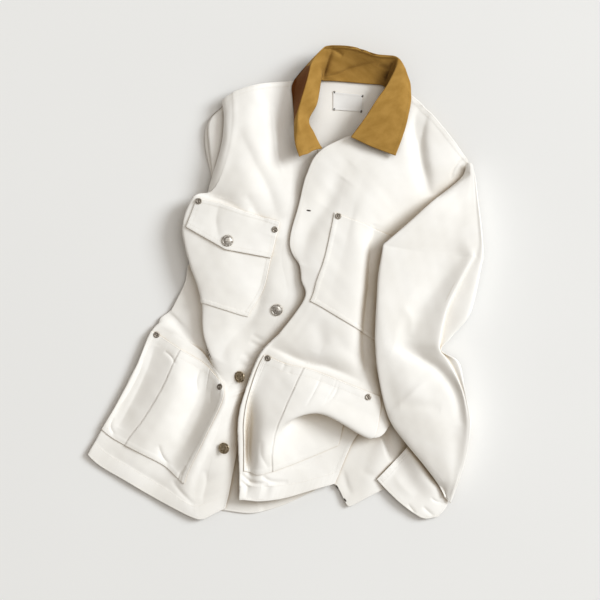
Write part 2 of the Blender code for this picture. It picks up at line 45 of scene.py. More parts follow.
# Each panel is a table: a row for each section down the garment, a point (x, y, z of the cloth's
# upper face) for each named line that runs through the sections.
frontRightColumns = ("side", "flank", "hollow", "ridge", "dip", "fold", "middle", "pocketIn", "frontEdge")
frontRightRows = (
    ("shoulder", (-102, 293, 18), (-100, 294, 20.5), (-97, 296, 22.5), (-93, 299, 24), (-87, 302, 26),
     (-79, 307, 27.5), (-47, 317, 25), (-9, 323, 11), (46, 325, 7)),
    ("yoke", (-99, 261, 18), (-98, 261, 22), (-96, 261, 26), (-92, 261, 29), (-86, 262, 31),
     (-76, 262, 32.5), (-44, 267, 30), (-7, 274, 11), (31, 274, 8)),
    ("neckPoint", (-103, 219, 16), (-103, 219, 21), (-101, 219, 26), (-97, 218, 29.5), (-91, 218, 32),
     (-82, 216, 33.5), (-44, 213, 33), (-1, 211, 14), (50, 213, 7)),
    ("armhole", (-116, 174, 15), (-116, 174, 20), (-113, 173, 25.5), (-109, 172, 29), (-104, 171, 31.5),
     (-97, 170, 33), (-52, 157, 36), (-4, 149, 28), (47, 158, 14)),
    ("underarm", (-124, 149, 11), (-124, 148, 15.5), (-123, 148, 20.5), (-121, 147, 25), (-118, 146, 28),
     (-115, 145, 30), (-63, 131, 35), (-7, 120, 32), (44, 123, 25)),
    ("flapTop", (-126, 125, 7), (-127, 126, 11), (-130, 128, 15), (-134, 131, 20), (-138, 134, 25.5),
     (-142, 137, 30), (-73, 117, 35), (-9, 96, 32), (39, 85, 25)),
    ("flapEdge", (-134, 75, 7), (-136, 77, 8.5), (-142, 80, 12), (-150, 84, 17), (-155, 87, 23.5),
     (-160, 90, 29.5), (-95, 53, 35), (-23, 40, 32), (33, 32, 24)),
    ("pocketMiddle", (-156, 29, 9), (-151, 26, 9), (-143, 24, 10), (-140, 24, 14), (-143, 27, 21),
     (-150, 34, 29.5), (-90, 10, 35), (-33, -5, 30), (42, -21, 21)),
    ("pocketLow", (-162, 0, 8), (-156, -5, 8), (-146, -8, 8), (-134, -11, 10), (-130, -10, 18),
     (-138, -3, 29), (-94, -18, 33), (-46, -30, 27), (33, -48, 20)),
    ("pocketBottom", (-182, -40, 7), (-172, -43, 7.5), (-156, -45, 7.5), (-137, -42, 8), (-126, -38, 15),
     (-132, -32, 28), (-97, -43, 30), (-60, -54, 24.5), (22, -72, 18)),
    ("facetLow", (-185, -44, 6.5), (-175, -53, 7), (-159, -67, 7), (-140, -80, 7), (-124, -88, 11),
     (-130, -83, 22.5), (-97, -88, 23), (-63, -94, 18), (1, -107, 14)),
    ("valley", (-190, -48, 5), (-178, -58, 5.5), (-164, -74, 5.5), (-145, -96, 5.5), (-126, -118, 7),
     (-111, -136, 15), (-87, -139, 17), (-68, -142, 15), (-31, -149, 11)),
    ("crest", (-203, -59, 5), (-196, -64, 9), (-180, -77, 9.5), (-158, -94, 9.5), (-132, -112, 10),
     (-105, -150, 15), (-86, -154, 16), (-68, -157, 14), (-38, -163, 10)),
    ("lowTop", (-209, -83, 2.6), (-215, -77, 9), (-199, -86, 8), (-169, -106, 13.5), (-129, -130, 9),
     (-99, -162, 18), (-84, -166, 16.5), (-70, -170, 13), (-54, -173, 8)),
    ("lowUpper", (-234, -144, 2.6), (-242, -139, 9.5), (-233, -146, 4), (-180, -173, 18.5),
     (-134, -187, 5), (-101, -190, 28), (-90, -200, 22), (-79, -206, 16), (-68, -213, 8)),
    ("lowLower", (-262, -197, 2.6), (-271, -194, 9.5), (-260, -202, 5), (-209, -230, 17),
     (-161, -250, 4.5), (-131, -253, 28), (-119, -264, 19), (-98, -272, 14.5), (-79, -277, 8)),
    ("lowBottom", (-286, -238, 2.6), (-295, -235, 8), (-276, -250, 8), (-238, -270, 11), (-194, -294, 8),
     (-162, -322, 14), (-142, -328, 11), (-118, -333, 9.5), (-90, -334, 8)),
    ("hem", (-306, -280, 2.6), (-318, -275, 7), (-298, -294, 6), (-257, -318, 7), (-209, -346, 7),
     (-153, -375, 9), (-132, -379, 9), (-114, -370, 7), (-97, -362, 6)),
)

frontLeftColumns = ("frontEdge", "placket", "pocketIn", "hollow", "gutter", "middle", "pocketOut", "side")
frontLeftRows = (
    ("shoulder", (180, 315, 22), (194, 306, 23), (210, 293, 23), (216, 288, 23), (223, 280, 23),
     (238, 266, 23), (268, 229, 22.5), (292, 197, 12)),
    ("neck", (135, 254, 28), (159, 246, 29), (183, 238, 29), (190, 235, 28.6), (201, 229, 28),
     (218, 219, 27), (252, 197, 23), (294, 173, 9)),
    ("neckPoint", (58, 213, 31), (81, 206, 34), (106, 197, 35), (117, 192, 35), (134, 186, 35),
     (161, 174, 33), (215, 154, 22.5), (263, 139, 12)),
    ("chestTop", (34, 174, 34), (58, 165, 36.5), (87, 154, 37.5), (98, 150, 37.3), (114, 144, 37),
     (142, 133, 35.5), (193, 115, 22), (244, 99, 18)),
    ("pocketTop", (22, 128, 36), (47, 120, 38), (78, 112, 38.5), (88, 108, 38.1), (103, 102, 37.5),
     (122, 95, 36.5), (182, 70, 19), (231, 59, 17)),
    ("pocketMiddle", (7, 59, 35.5), (31, 51, 38), (63, 43, 39), (72, 40, 38.6), (86, 35, 38),
     (119, 22, 36.5), (164, -2, 17), (215, -14, 16)),
    ("pocketLow", (36, 10, 31), (25, 8, 35.5), (50, 5, 39), (60, 2, 38.6), (74, -3, 38), (114, -20, 36.5),
     (158, -46, 16.5), (206, -59, 16)),
    ("pocketBottom", (57, -37, 26), (31, -24, 35), (39, -29, 37), (49, -34, 37), (63, -42, 37),
     (106, -68, 35.5), (148, -94, 16.5), (196, -110, 16)),
    ("waist", (23, -98, 22), (-7, -77, 31), (4, -82, 33), (16, -85, 33.4), (33, -91, 34), (94, -111, 33),
     (135, -133, 18), (186, -152, 16)),
    ("lowTop", (-15, -133, 17), (-41, -114, 27), (-34, -115, 27), (-19, -121, 27.4), (4, -130, 28),
     (49, -141, 29.5), (151, -181, 25), (183, -187, 16)),
    ("lowUpper", (-50, -181, 14), (-65, -173, 26), (-58, -174, 25), (-52, -177, 21), (-23, -184, 30),
     (52, -176, 35), (150, -213, 27), (178, -205, 17)),
    ("foldOver", (-60, -232, 10), (-76, -219, 24), (-67, -219, 24), (-56, -221, 14), (-30, -226, 37),
     (52, -206, 38), (137, -247, 29), (167, -226, 18)),
    ("foldUnder", (-62, -267, 9.5), (-76, -262, 22), (-67, -262, 22), (-58, -264, 13), (-33, -267, 34),
     (42, -194, 11), (100, -216, 8), (138, -226, 7)),
    ("lowBottom", (-58, -304, 9), (-74, -301, 21), (-67, -301, 21), (-57, -303, 17), (-38, -306, 22),
     (18, -288, 12), (84, -261, 6.5), (110, -251, 6)),
    ("hem", (-57, -344, 8), (-74, -347, 20), (-68, -347, 22), (-56, -348, 22), (-38, -349, 22),
     (-1, -344, 20), (49, -330, 16), (79, -322, 11)),
)

backColumns = ("sideRight", "armRight", "yokeRight", "neckRight", "centre", "neckLeft", "yokeLeft", "armLeft",
               "tabSide", "tabHem", "sideLeft", "sideEdge")
backRows = (
    ("top", (-94, 288, 14), (-60, 306, 22), (4, 317, 5), (57, 325, 8), (97, 325, 10), (158, 318, 12),
     (190, 299, 16), (239, 259, 18), (255, 238, 15.6), (262, 229, 14.5), (279, 206, 12), (297, 184, 8)),
    ("yoke", (-89, 259, 17), (-57, 264, 21), (4, 272, 4), (55, 278, 9), (97, 275, 7), (142, 272, 9),
     (183, 259, 14), (228, 229, 14), (241, 212, 12.4), (247, 205, 11.7), (260, 187, 10), (281, 165, 7)),
    ("neckFront", (-92, 216, 12), (-57, 213, 12), (2, 211, 4), (52, 214, 6), (94, 214, 4), (138, 211, 5),
     (180, 200, 6), (218, 178, 6), (230, 166, 6), (235, 161, 6), (247, 149, 6), (266, 126, 5)),
    ("chest", (-106, 133, 0), (-73, 131, 0), (-18, 131, 0), (34, 131, 0), (81, 131, 0), (124, 131, 0),
     (164, 128, 0), (199, 122, 0), (211, 116, 0), (216, 114, 0), (228, 109, 0), (247, 91, 0)),
    ("ribs", (-114, 34, 0), (-82, 34, 0), (-28, 34, 0), (26, 34, 0), (74, 34, 0), (119, 34, 0),
     (161, 34, 0), (196, 34, 0), (207, 34, 0), (212, 34, 0), (223, 34, 0), (241, 34, 0)),
    ("waist", (-153, -59, 0), (-108, -66, 0), (-47, -69, 0), (14, -70, 0), (68, -72, 0), (113, -72, 0),
     (154, -72, 0), (190, -72, 0), (201, -72, 0), (206, -72, 0), (218, -72, 0), (236, -72, 0)),
    ("hip", (-196, -146, 0), (-146, -165, 0), (-82, -176, 0), (-18, -178, 0), (39, -176, 0),
     (87, -171, 0), (132, -166, 0), (174, -165, 0), (186, -165, 0), (192, -165, 0), (206, -165, 0),
     (222, -165, 0)),
    ("seat", (-249, -235, 0), (-193, -264, 0), (-127, -277, 0), (-66, -283, 0), (-9, -283, 0),
     (46, -274, 2), (84, -266, 4), (103, -262, 5), (126, -264, 7.8), (137, -265, 9.1), (161, -267, 12),
     (194, -274, 2)),
    ("hem", (-295, -285, 0), (-236, -322, 0), (-169, -362, 0), (-106, -365, 2.5), (-54, -370, 3.5),
     (-7, -358, 2), (36, -339, 2.5), (76, -322, 6), (98, -356, 6.5), (105, -358, 6.5), (129, -346, 6),
     (159, -331, 3)),
)

sleeveLeftColumns = ("stripShade", "edge", "crest", "middle", "trough", "ridge", "leafIn", "leafOut", "turn")
sleeveLeftRows = (
    ("cap", (291, 184, 14), (290, 191, 20), (291, 192, 21.5), (293, 192, 22.5), (295, 192, 23),
     (296, 191, 23), (297, 191, 22.8), (298, 190, 22), (299, 189, 12)),
    ("capFold", (282, 165, 15), (283, 171, 21), (287, 172, 25), (291, 173, 27.5), (294, 173, 29),
     (297, 172, 29.5), (300, 171, 29.5), (303, 168, 28.5), (302, 167, 12)),
    ("upper1", (265, 146, 23), (261, 151, 29), (266, 148, 36), (276, 143, 39), (287, 139, 39.5),
     (295, 136, 39), (302, 133, 38.5), (307, 130, 37), (306, 130, 12)),
    ("upper2", (234, 122, 36), (230, 127, 46), (238, 123, 50), (257, 117, 48), (276, 109, 44.5),
     (290, 103, 43.5), (304, 98, 42.5), (311, 96, 41), (310, 95, 12)),
    ("upper3", (202, 91, 40), (198, 98, 51.5), (206, 94, 54), (234, 85, 50), (266, 75, 45.5),
     (289, 69, 45.5), (306, 64, 44.5), (314, 61, 43), (313, 60, 12)),
    ("bendTop", (170, 60, 40), (161, 66, 51), (170, 63, 53), (224, 54, 48.3), (269, 47, 43.4),
     (294, 46, 47.2), (302, 44, 44.9), (314, 41, 43.4), (313, 41, 12)),
    ("bend", (164, 54, 40), (156, 62, 50.5), (164, 58, 52.5), (222, 48, 48), (270, 42, 43),
     (295, 42, 47.5), (302, 41, 45), (314, 38, 43.5), (312, 37, 12)),
    ("bendLow", (163, 48, 39.9), (154, 54, 51), (162, 52, 53), (220, 42, 47.9), (266, 36, 42.8),
     (292, 36, 48), (298, 35, 45), (312, 31, 43.5), (311, 30, 12)),
    ("lower1", (154, 11, 39), (147, 13, 49.5), (158, 11, 52.5), (209, 5, 47), (244, 0, 41.5),
     (273, -1, 51), (277, -2, 45), (303, -9, 43.5), (303, -10, 12)),
    ("lower2", (151, -35, 39), (144, -35, 48.5), (154, -36, 52), (186, -38, 48), (217, -42, 42),
     (253, -44, 53), (257, -45, 45), (290, -52, 44), (289, -53, 12)),
    ("elbow", (150, -82, 37), (142, -80, 46), (153, -82, 49.5), (172, -85, 47.5), (199, -88, 42),
     (242, -91, 52), (246, -92, 43), (262, -88, 41.5), (261, -86, 13)),
    ("notch", (151, -106, 36), (143, -105, 44.5), (156, -105, 48), (177, -107, 46.5), (209, -110, 40.5),
     (243, -108, 48.5), (246, -108, 45), (248, -107, 43.5), (247, -106, 14)),
    ("elbowEnd", (153, -131, 34), (145, -130, 41.5), (161, -130, 44.5), (190, -131, 45), (231, -133, 41),
     (256, -124, 45.5), (260, -124, 39.5), (275, -126, 40.5), (276, -128, 13)),
    ("forearm1", (161, -174, 30), (153, -176, 36), (167, -175, 39), (207, -174, 45.5), (266, -170, 41),
     (279, -168, 44.5), (281, -168, 41.5), (285, -169, 42), (284, -170, 14)),
    ("forearm2", (174, -216, 27), (166, -219, 34), (180, -216, 39), (231, -214, 43.5), (274, -216, 39),
     (288, -217, 42.5), (291, -217, 42), (294, -218, 40), (292, -219, 12)),
    ("forearm3", (194, -248, 23), (189, -252, 30), (201, -249, 36), (244, -246, 39.5), (273, -248, 36),
     (287, -250, 38), (290, -251, 37.5), (292, -252, 35.5), (291, -253, 11)),
    ("forearm4", (222, -283, 20), (217, -286, 25.5), (227, -284, 31), (254, -282, 33.5),
     (271, -282, 31.5), (281, -283, 32), (284, -284, 31.5), (286, -284, 29.5), (284, -285, 10)),
    ("turn1", (246, -314, 14), (240, -316, 19), (248, -315, 23.5), (260, -314, 25.5), (268, -315, 25),
     (273, -316, 24.5), (275, -316, 23.5), (277, -317, 21.5), (276, -318, 9)),
    ("turn2", (254, -329, 6), (249, -331, 9.5), (254, -332, 12.5), (258, -336, 14), (263, -338, 14.5),
     (266, -340, 14.5), (268, -341, 13.5), (269, -342, 11.5), (268, -342, 8)),
    ("turnEnd", (258, -343, 5), (255, -344, 7.5), (257, -346, 8.8), (259, -348, 9.4), (260, -350, 10),
     (263, -351, 9.6), (264, -352, 9), (265, -353, 7.8), (264, -354, 6)),
)

cuffColumns = ("turn", "foldInner", "fold", "middle", "slitInner", "slit")
cuffRows = (
    ("rim", (246, -375, 5), (223, -378, 8), (204, -368, 10), (183, -352, 11), (164, -334, 10),
     (146, -315, 8)),
    ("face", (254, -366, 5.5), (238, -359, 8), (219, -344, 10), (202, -324, 10.5), (190, -302, 10),
     (178, -282, 9.5)),
    ("inner", (260, -356, 5), (249, -344, 7), (237, -330, 12.5), (224, -312, 16), (211, -292, 17),
     (192, -266, 16)),
    ("hidden", (263, -348, 4), (259, -337, 4.5), (250, -322, 6), (236, -302, 7), (222, -281, 8),
     (201, -256, 8)),
)

collarColumns = ("neck", "stand", "ridgeIn", "ridge", "ridgeOut", "fall", "edge")
collarRows = (
    ("rightEnd", (58, 216, 28), (55, 214, 34), (44, 210, 40.5), (38, 206, 43), (33, 204, 45),
     (26, 202, 46.5), (22, 200, 47.5)),
    ("rightFront", (47, 238, 26), (45, 237, 34), (30, 232, 41.5), (25, 230, 43.5), (20, 228, 45),
     (16, 227, 45.5), (14, 226, 43.5)),
    ("rightTurn", (38, 259, 24), (36, 260, 33), (24, 262, 43), (20, 263, 46.5), (16, 264, 42),
     (14, 265, 28), (13, 266, 17)),
    ("rightSide", (50, 284, 21), (48, 285, 31), (31, 292, 43.5), (26, 294, 47.5), (23, 295, 39),
     (13, 297, 14), (11, 297, 6)),
    ("rightBack", (54, 304, 19), (53, 307, 29.5), (38, 318, 43.5), (34, 320, 48), (29, 320, 39),
     (14, 318, 12), (10, 315, 5)),
    ("rightCorner", (57, 323, 16), (57, 330, 27), (46, 347, 40), (42, 350, 44.5), (39, 348, 36),
     (26, 339, 11), (18, 332, 5)),
    ("backFold", (61, 324, 14), (60, 338, 18), (61, 366, 33), (59, 372, 37.5), (56, 370, 35),
     (47, 362, 24), (41, 354, 16)),
    ("backRight", (70, 324, 13), (70, 342, 18), (71, 370, 31), (71, 377, 35.5), (70, 377, 34),
     (66, 368, 22), (63, 360, 14)),
    ("backMiddle", (97, 322, 12), (100, 346, 18), (104, 369, 30), (105, 376, 34.5), (105, 375, 33),
     (105, 366, 20), (103, 358, 12)),
    ("backLeft", (129, 319, 13), (135, 338, 18), (142, 357, 30.5), (144, 364, 35), (144, 363, 33.5),
     (145, 354, 21), (143, 344, 13)),
    ("leftCorner", (158, 315, 15), (166, 330, 19), (173, 346, 30), (177, 356, 37.5), (182, 356, 36.5),
     (189, 346, 30), (193, 331, 22)),
    ("leftBack", (158, 296, 20), (160, 306, 25), (162, 314, 35), (164, 319, 39.5), (170, 318, 39),
     (185, 308, 35), (201, 298, 28)),
    ("leftSide", (146, 277, 26), (144, 282, 31), (144, 287, 40), (145, 291, 43), (151, 290, 42.5),
     (172, 279, 40.5), (196, 266, 36)),
    ("leftFront", (129, 256, 31), (127, 258, 36), (125, 259, 42), (126, 261, 44.5), (132, 258, 44.5),
     (156, 245, 43), (188, 237, 40)),
    ("leftEnd", (108, 235, 34), (105, 234, 39), (104, 232, 42.5), (104, 231, 44), (111, 228, 44.5),
     (137, 216, 44.5), (175, 202, 42.5)),
)

# Creases of each panel: path, rise (negative for a trough), spread to the left and to the right of
# the path, and sharpness, from 2 for a soft swell to 1 for a pressed edge
creases = {
    "frontRight": (
        (((-76, 248), (-50, 192), (-28, 149), (-12, 98)), -4.5, 11, 15, 1.6),
        (((-63, 142), (-46, 112), (-28, 99)), -2.5, 8, 8, 1.5),
        (((-146, 146), (-129, 141), (-97, 130), (-62, 112)), -5, 9, 4, 1.3),
        (((-106, 123), (-110, 98), (-105, 69)), -1.6, 6, 8, 1.5),
        (((-14, 72), (-34, 11), (-50, -50), (-86, -88), (-106, -123)), -5.5, 11, 16, 1.6),
        (((-54, -82), (-44, -88), (-33, -93)), -1.6, 3, 4, 1.3),
        (((-58, -93), (-46, -99), (-31, -107)), -1.8, 3, 4, 1.3),
        (((-70, -112), (-60, -118), (-50, -128)), -1.8, 3, 4, 1.3),
        (((-76, -125), (-66, -131), (-57, -141)), -1.4, 3, 4, 1.3),
        (((-102, 285), (-95, 229), (-114, 165)), 2.2, 10, 10, 1.6),
        (((-38, 285), (-44, 253), (-38, 213)), -1.8, 12, 12, 2),
        (((-281, -275), (-233, -306), (-175, -338)), -1.2, 7, 7, 1.8),
        (((-210, -102), (-218, -130), (-233, -165), (-252, -202), (-268, -232)), -2.5, 14, 5, 1.6),
        (((-194, -109), (-183, -118), (-175, -131)), -1.8, 2.5, 2.5, 1.4),
        (((-276, -216), (-281, -230), (-273, -248)), -1.6, 2.5, 2.5, 1.4),
        (((-204, -258), (-198, -277), (-185, -294)), -2, 2.5, 4, 1.4),
        (((-159, -293), (-169, -306), (-172, -317)), -1.5, 2.5, 2.5, 1.5),
        (((-137, -139), (-143, -155), (-142, -174)), -1.5, 3, 3, 1.5),
        (((-114, -162), (-119, -178), (-118, -194)), -1.5, 3, 3, 1.5),
        (((-182, -315), (-169, -334), (-146, -357)), -1.8, 4, 4, 1.5),
        (((-129, -299), (-126, -322), (-134, -347)), -1.8, 5, 5, 1.6),
    ),
    "frontLeft": (
        (((106, 190), (81, 162), (58, 126)), -2, 12, 12, 1.9),
        (((95, 165), (65, 123), (38, 86), (23, 30)), -6, 14, 18, 1.8),
        (((23, 139), (20, 109), (14, 75)), 1.2, 8, 8, 2),
        (((222, 283), (214, 245), (217, 200), (231, 139)), -11, 9, 15, 1.8),
        (((-28, -99), (23, -123), (71, -136), (122, -157)), -5, 9, 5, 1.5),
        (((52, -59), (58, -85), (49, -110)), -1.5, 12, 12, 2),
        (((143, 94), (134, 40), (131, -8), (126, -51), (124, -94), (130, -142)), -9, 12, 5.5, 1.6),
        (((57, -150), (49, -168), (33, -197)), -0.9, 1.5, 1.5, 1.5),
        (((86, -160), (76, -182), (58, -195)), -0.9, 1.5, 1.5, 1.5),
        (((-4, -125), (1, -136), (10, -146)), -1.2, 2.5, 2.5, 1.5),
        (((-71, -304), (-60, -315), (-47, -320), (-28, -320)), -4.5, 2, 4, 1.3),
        (((-73, -315), (-60, -326), (-47, -331), (-31, -331)), -4.5, 2, 4, 1.3),
        (((-70, -330), (-54, -341), (-25, -338)), -4, 2, 4, 1.3),
        (((-38, -307), (-23, -317), (4, -318)), -3, 2, 4, 1.3),
        (((-38, -325), (-22, -328), (-7, -338)), -3, 2, 4, 1.3),
        (((10, -296), (33, -290), (58, -277)), -1.2, 2.5, 2.5, 1.5),
        (((-28, -296), (-38, -275), (-38, -251)), -1.5, 4, 4, 1.5),
        (((58, -107), (103, -126), (151, -142)), 2, 12, 12, 2),
        (((265, 166), (267, 178), (273, 188), (282, 196), (294, 197)), -2.2, 1.6, 1.6, 1.5),
    ),
    "sleeveLeft": (
        (((172, -101), (194, -110), (220, -123), (244, -138), (263, -162), (274, -187), (279, -226)),
         -4.5, 9, 9, 1.8),
        (((295, 174), (279, 165), (260, 150), (241, 134)), -4.5, 1.5, 9, 1.4),
        (((164, -208), (190, -186), (215, -162), (244, -146)), 1.8, 5, 10, 1.6),
        (((186, -37), (199, -56), (199, -85)), 1.5, 8, 8, 1.7),
        (((183, -194), (215, -194), (247, -200)), -1.2, 9, 9, 2),
        (((241, -338), (247, -341), (258, -342)), -1.4, 2.5, 2.5, 1.5),
        (((241, -347), (249, -352), (260, -352)), -1.4, 2.5, 2.5, 1.5),
    ),
    "cuff": (
        (((174, -306), (186, -325), (206, -344)), 1.2, 8, 8, 1.7),
        (((233, -344), (241, -350), (252, -352)), -1.4, 2, 2, 1.4),
        (((196, -354), (202, -362), (209, -370)), -1.4, 2.5, 2.5, 1.4),
        (((220, -358), (228, -366), (238, -374)), -1.6, 3, 3, 1.4),
    ),
    "back": (
        (((138, 318), (129, 286), (106, 245)), -3, 8, 8, 1.5),
        (((151, 302), (138, 274), (122, 248)), 3, 6, 6, 1.5),
        (((106, 277), (105, 254), (103, 232)), -1.2, 2, 2, 1.4),
        (((92, -299), (98, -322), (106, -341)), -1.6, 4, 8, 1.6),
        (((151, -229), (161, -258), (170, -286)), -11, 18, 1.5, 1.5),
        (((-38, -331), (-36, -354), (-36, -379)), -3.5, 5, 2, 1.3),
        (((-23, -331), (-22, -354), (-22, -376)), -3.5, 5, 2, 1.3),
        (((-9, -328), (-7, -347), (-7, -370)), -3.5, 5, 2, 1.3),
        (((6, -325), (7, -342), (9, -360)), -3, 5, 2, 1.3),
        (((121, -299), (138, -309), (154, -315)), -1.2, 5, 5, 1.8),
    ),
    "collar": (
        (((57, 329), (87, 336), (106, 344), (151, 354)), -4, 2.5, 6, 1.3),
        (((76, 376), (68, 357), (58, 326)), -4.5, 4.5, 1.5, 1.3),
        (((180, 362), (169, 342), (161, 322)), -4, 1.5, 4.5, 1.3),
        (((76, 373), (84, 368), (92, 363)), -3, 3, 3, 1.4),
        (((148, 347), (158, 344), (166, 341)), -2.5, 4, 4, 1.6),
    ),
}


def srgb(code):
    # hex colour to the linear values that the shader takes
    channels = [int(code[k:k + 2], 16) / 255 for k in (1, 3, 5)]
    return [c / 12.92 if c <= 0.04045 else ((c + 0.055) / 1.055) ** 2.4 for c in channels] + [1.0]


def addNode(tree, kind, settings=None, links=None):
    # a node with its properties and input values, and the sockets that feed its inputs
    node = tree.nodes.new(kind)
    for key, value in (settings or {}).items():
        if key in node.inputs:
            node.inputs[key].default_value = value
        else:
            setattr(node, key, value)
    for key, source in (links or {}).items():
        tree.links.new(source, node.inputs[key])
    return node


def startMaterial(name, values):
    material = bpy.data.materials.new(name)
    material.use_nodes = True
    shader = material.node_tree.nodes["Principled BSDF"]
    for key, value in values.items():
        shader.inputs[key].default_value = value
    return material, material.node_tree, shader


def wovenCloth(name, light, dark, thread, mottle, look, paintedFoldShade=None, shade=0.8, closed=0.2, stripShade=None):
    # woven cotton: diagonal ribs and slubs as bump, slow change of tone from dyeing and washing;
    # the fold tone is painted shade: the warmer, darker tone that light takes inside folds after going from
    # cloth to cloth, mixed into the colour by an occlusion node; it comes in as the open share of what a place
    # sees falls from shade to closed; the strip tone is painted shade too, mixed in where a mesh attribute
    # marks a strip
    material, tree, shader = startMaterial(name, look)
    uv = addNode(tree, "ShaderNodeUVMap", {"uv_map": "cloth"})
    slow = addNode(tree, "ShaderNodeTexNoise", {"Scale": 1 / mottle, "Detail": 4.0, "Roughness": 0.55},
                   {"Vector": uv.outputs["UV"]})
    tone = addNode(tree, "ShaderNodeMapRange", {"From Min": 0.35, "From Max": 0.65},
                   {"Value": slow.outputs["Fac"]})
    turned = addNode(tree, "ShaderNodeMapping", {"Rotation": (0, 0, math.radians(58))},
                     {"Vector": uv.outputs["UV"]})
    ribs = addNode(tree, "ShaderNodeTexWave", {"Scale": math.pi / 10 / thread, "Distortion": 1.2, "Detail": 1.0,
                                               "Detail Scale": 3.0}, {"Vector": turned.outputs["Vector"]})
    drawn = addNode(tree, "ShaderNodeMapping", {"Scale": (1.0, 0.22, 1.0)}, {"Vector": uv.outputs["UV"]})
    slubs = addNode(tree, "ShaderNodeTexNoise", {"Scale": 0.35 / thread, "Detail": 3.0, "Roughness": 0.6},
                    {"Vector": drawn.outputs["Vector"]})
    grain = addNode(tree, "ShaderNodeMix", {"data_type": "FLOAT", "Factor": 0.55},
                    {"A": ribs.outputs["Fac"], "B": slubs.outputs["Fac"]})
    speck = addNode(tree, "ShaderNodeMix", {"data_type": "FLOAT", "Factor": 0.25},
                    {"A": tone.outputs["Result"], "B": grain.outputs["Result"]})
    colour = addNode(tree, "ShaderNodeMix", {"data_type": "RGBA", "A": srgb(dark), "B": srgb(light)},
                     {"Factor": speck.outputs["Result"]})
    # painted shade: a dark tone mixed into the colour where the mesh attribute marks the strip
    if stripShade:
        side = addNode(tree, "ShaderNodeAttribute", {"attribute_name": "collarStripShade"})
        colour = addNode(tree, "ShaderNodeMix", {"data_type": "RGBA", "B": srgb(stripShade)},
                         {"Factor": side.outputs["Fac"], "A": colour.outputs["Result"]})
    bump = addNode(tree, "ShaderNodeBump", {"Strength": 0.35, "Distance": thread * 0.25},
                   {"Height": grain.outputs["Result"]})
    # painted shade: an occlusion node mixes the fold tone into the colour where the cloth is closed in
    if paintedFoldShade:
        opening = addNode(tree, "ShaderNodeAmbientOcclusion", {"samples": 6, "Distance": 0.035})
        share = addNode(tree, "ShaderNodeMapRange",
                        {"interpolation_type": "SMOOTHSTEP", "From Min": shade, "From Max": closed,
                         "To Max": 1.0},
                        {"Value": opening.outputs["AO"]})
        colour = addNode(tree, "ShaderNodeMix", {"data_type": "RGBA", "B": srgb(paintedFoldShade)},
                         {"Factor": share.outputs["Result"], "A": colour.outputs["Result"]})
    tree.links.new(colour.outputs["Result"], shader.inputs["Base Color"])
    tree.links.new(bump.outputs["Normal"], shader.inputs["Normal"])
    return material


# heavy cotton twill, washed once: matt, off-white, a faint diagonal rib; the ribs of 0.5 mm are
# drawn at 1.1 mm so that they show
# in its folds the colour takes a warm tan, painted shade
cottonTwill = wovenCloth("cottonTwill", "#FAF8F4", "#F3F0EA", 0.0011, 0.09,
                         {"Roughness": 0.92, "Specular IOR Level": 0.25, "Sheen Weight": 0.05,
                          "Sheen Roughness": 0.5}, "#C2AF91", 0.82)
# brushed cotton, dyed tan: a short nap that catches light at its edges, mottled by washing; its last tone is
# painted shade, a darker brown for the collar's steep outer strip
# in its folds the colour takes a dark brown, painted shade
brushedCotton = wovenCloth("brushedCotton", "#B38B47", "#9A7434", 0.0012, 0.022,
                           {"Roughness": 0.95, "Specular IOR Level": 0.2, "Sheen Weight": 0.25,
                            "Sheen Roughness": 0.45, "Sheen Tint": srgb("#D8B878")},
                           "#3A2008", 0.9, 0.35, "#66330E")
# damask label tape: fine, cool white, a little gloss
labelTape = wovenCloth("labelTape", "#F4F3F1", "#E9E8E6", 0.0007, 0.03,
                       {"Roughness": 0.6, "Specular IOR Level": 0.35})
# spun cotton thread, a shade deeper than the cloth
cottonThread = wovenCloth("cottonThread", "#F1EBE0", "#E8E1D5", 0.0006, 0.01, {"Roughness": 0.8})
tanThread = wovenCloth("tanThread", "#A37F3C", "#8A6829", 0.0006, 0.01, {"Roughness": 0.8})
darkThread = wovenCloth("darkThread", "#4B443C", "#373029", 0.0006, 0.01, {"Roughness": 0.8})


def agedNickel(name, low, high):
    # die-struck brass with a worn nickel plate: bright and brown in patches
    material, tree, shader = startMaterial(name, {"Metallic": 1.0, "Roughness": 0.3})
    where = addNode(tree, "ShaderNodeTexCoord")
    worn = addNode(tree, "ShaderNodeTexNoise", {"Scale": 420.0, "Detail": 5.0, "Roughness": 0.6},
                   {"Vector": where.outputs["Object"]})
    share = addNode(tree, "ShaderNodeMapRange", {"From Min": 0.38, "From Max": 0.62},
                    {"Value": worn.outputs["Fac"]})
    colour = addNode(tree, "ShaderNodeMix", {"data_type": "RGBA", "A": srgb(low), "B": srgb(high)},
                     {"Factor": share.outputs["Result"]})
    rough = addNode(tree, "ShaderNodeMapRange", {"To Min": 0.55, "To Max": 0.38},
                    {"Value": worn.outputs["Fac"]})
    dents = addNode(tree, "ShaderNodeBump", {"Strength": 0.25, "Distance": 0.0002},
                    {"Height": worn.outputs["Fac"]})
    tree.links.new(colour.outputs["Result"], shader.inputs["Base Color"])
    tree.links.new(rough.outputs["Result"], shader.inputs["Roughness"])
    tree.links.new(dents.outputs["Normal"], shader.inputs["Normal"])
    return material


nickel = agedNickel("agedNickel", "#8D847A", "#E9E6E0")
# the waist and hem buttons lean away from the light, and their plate is a darker, browner copy of the nickel:
# painted shade as well as a plate worn to brown; the rivets' plate has gone darker
shadedWornPlate = agedNickel("shadedWornNickel", "#6A5A45", "#CDBDA2")
wornRivet = agedNickel("wornRivet", "#665C52", "#BDB6AC")
print("materials made")


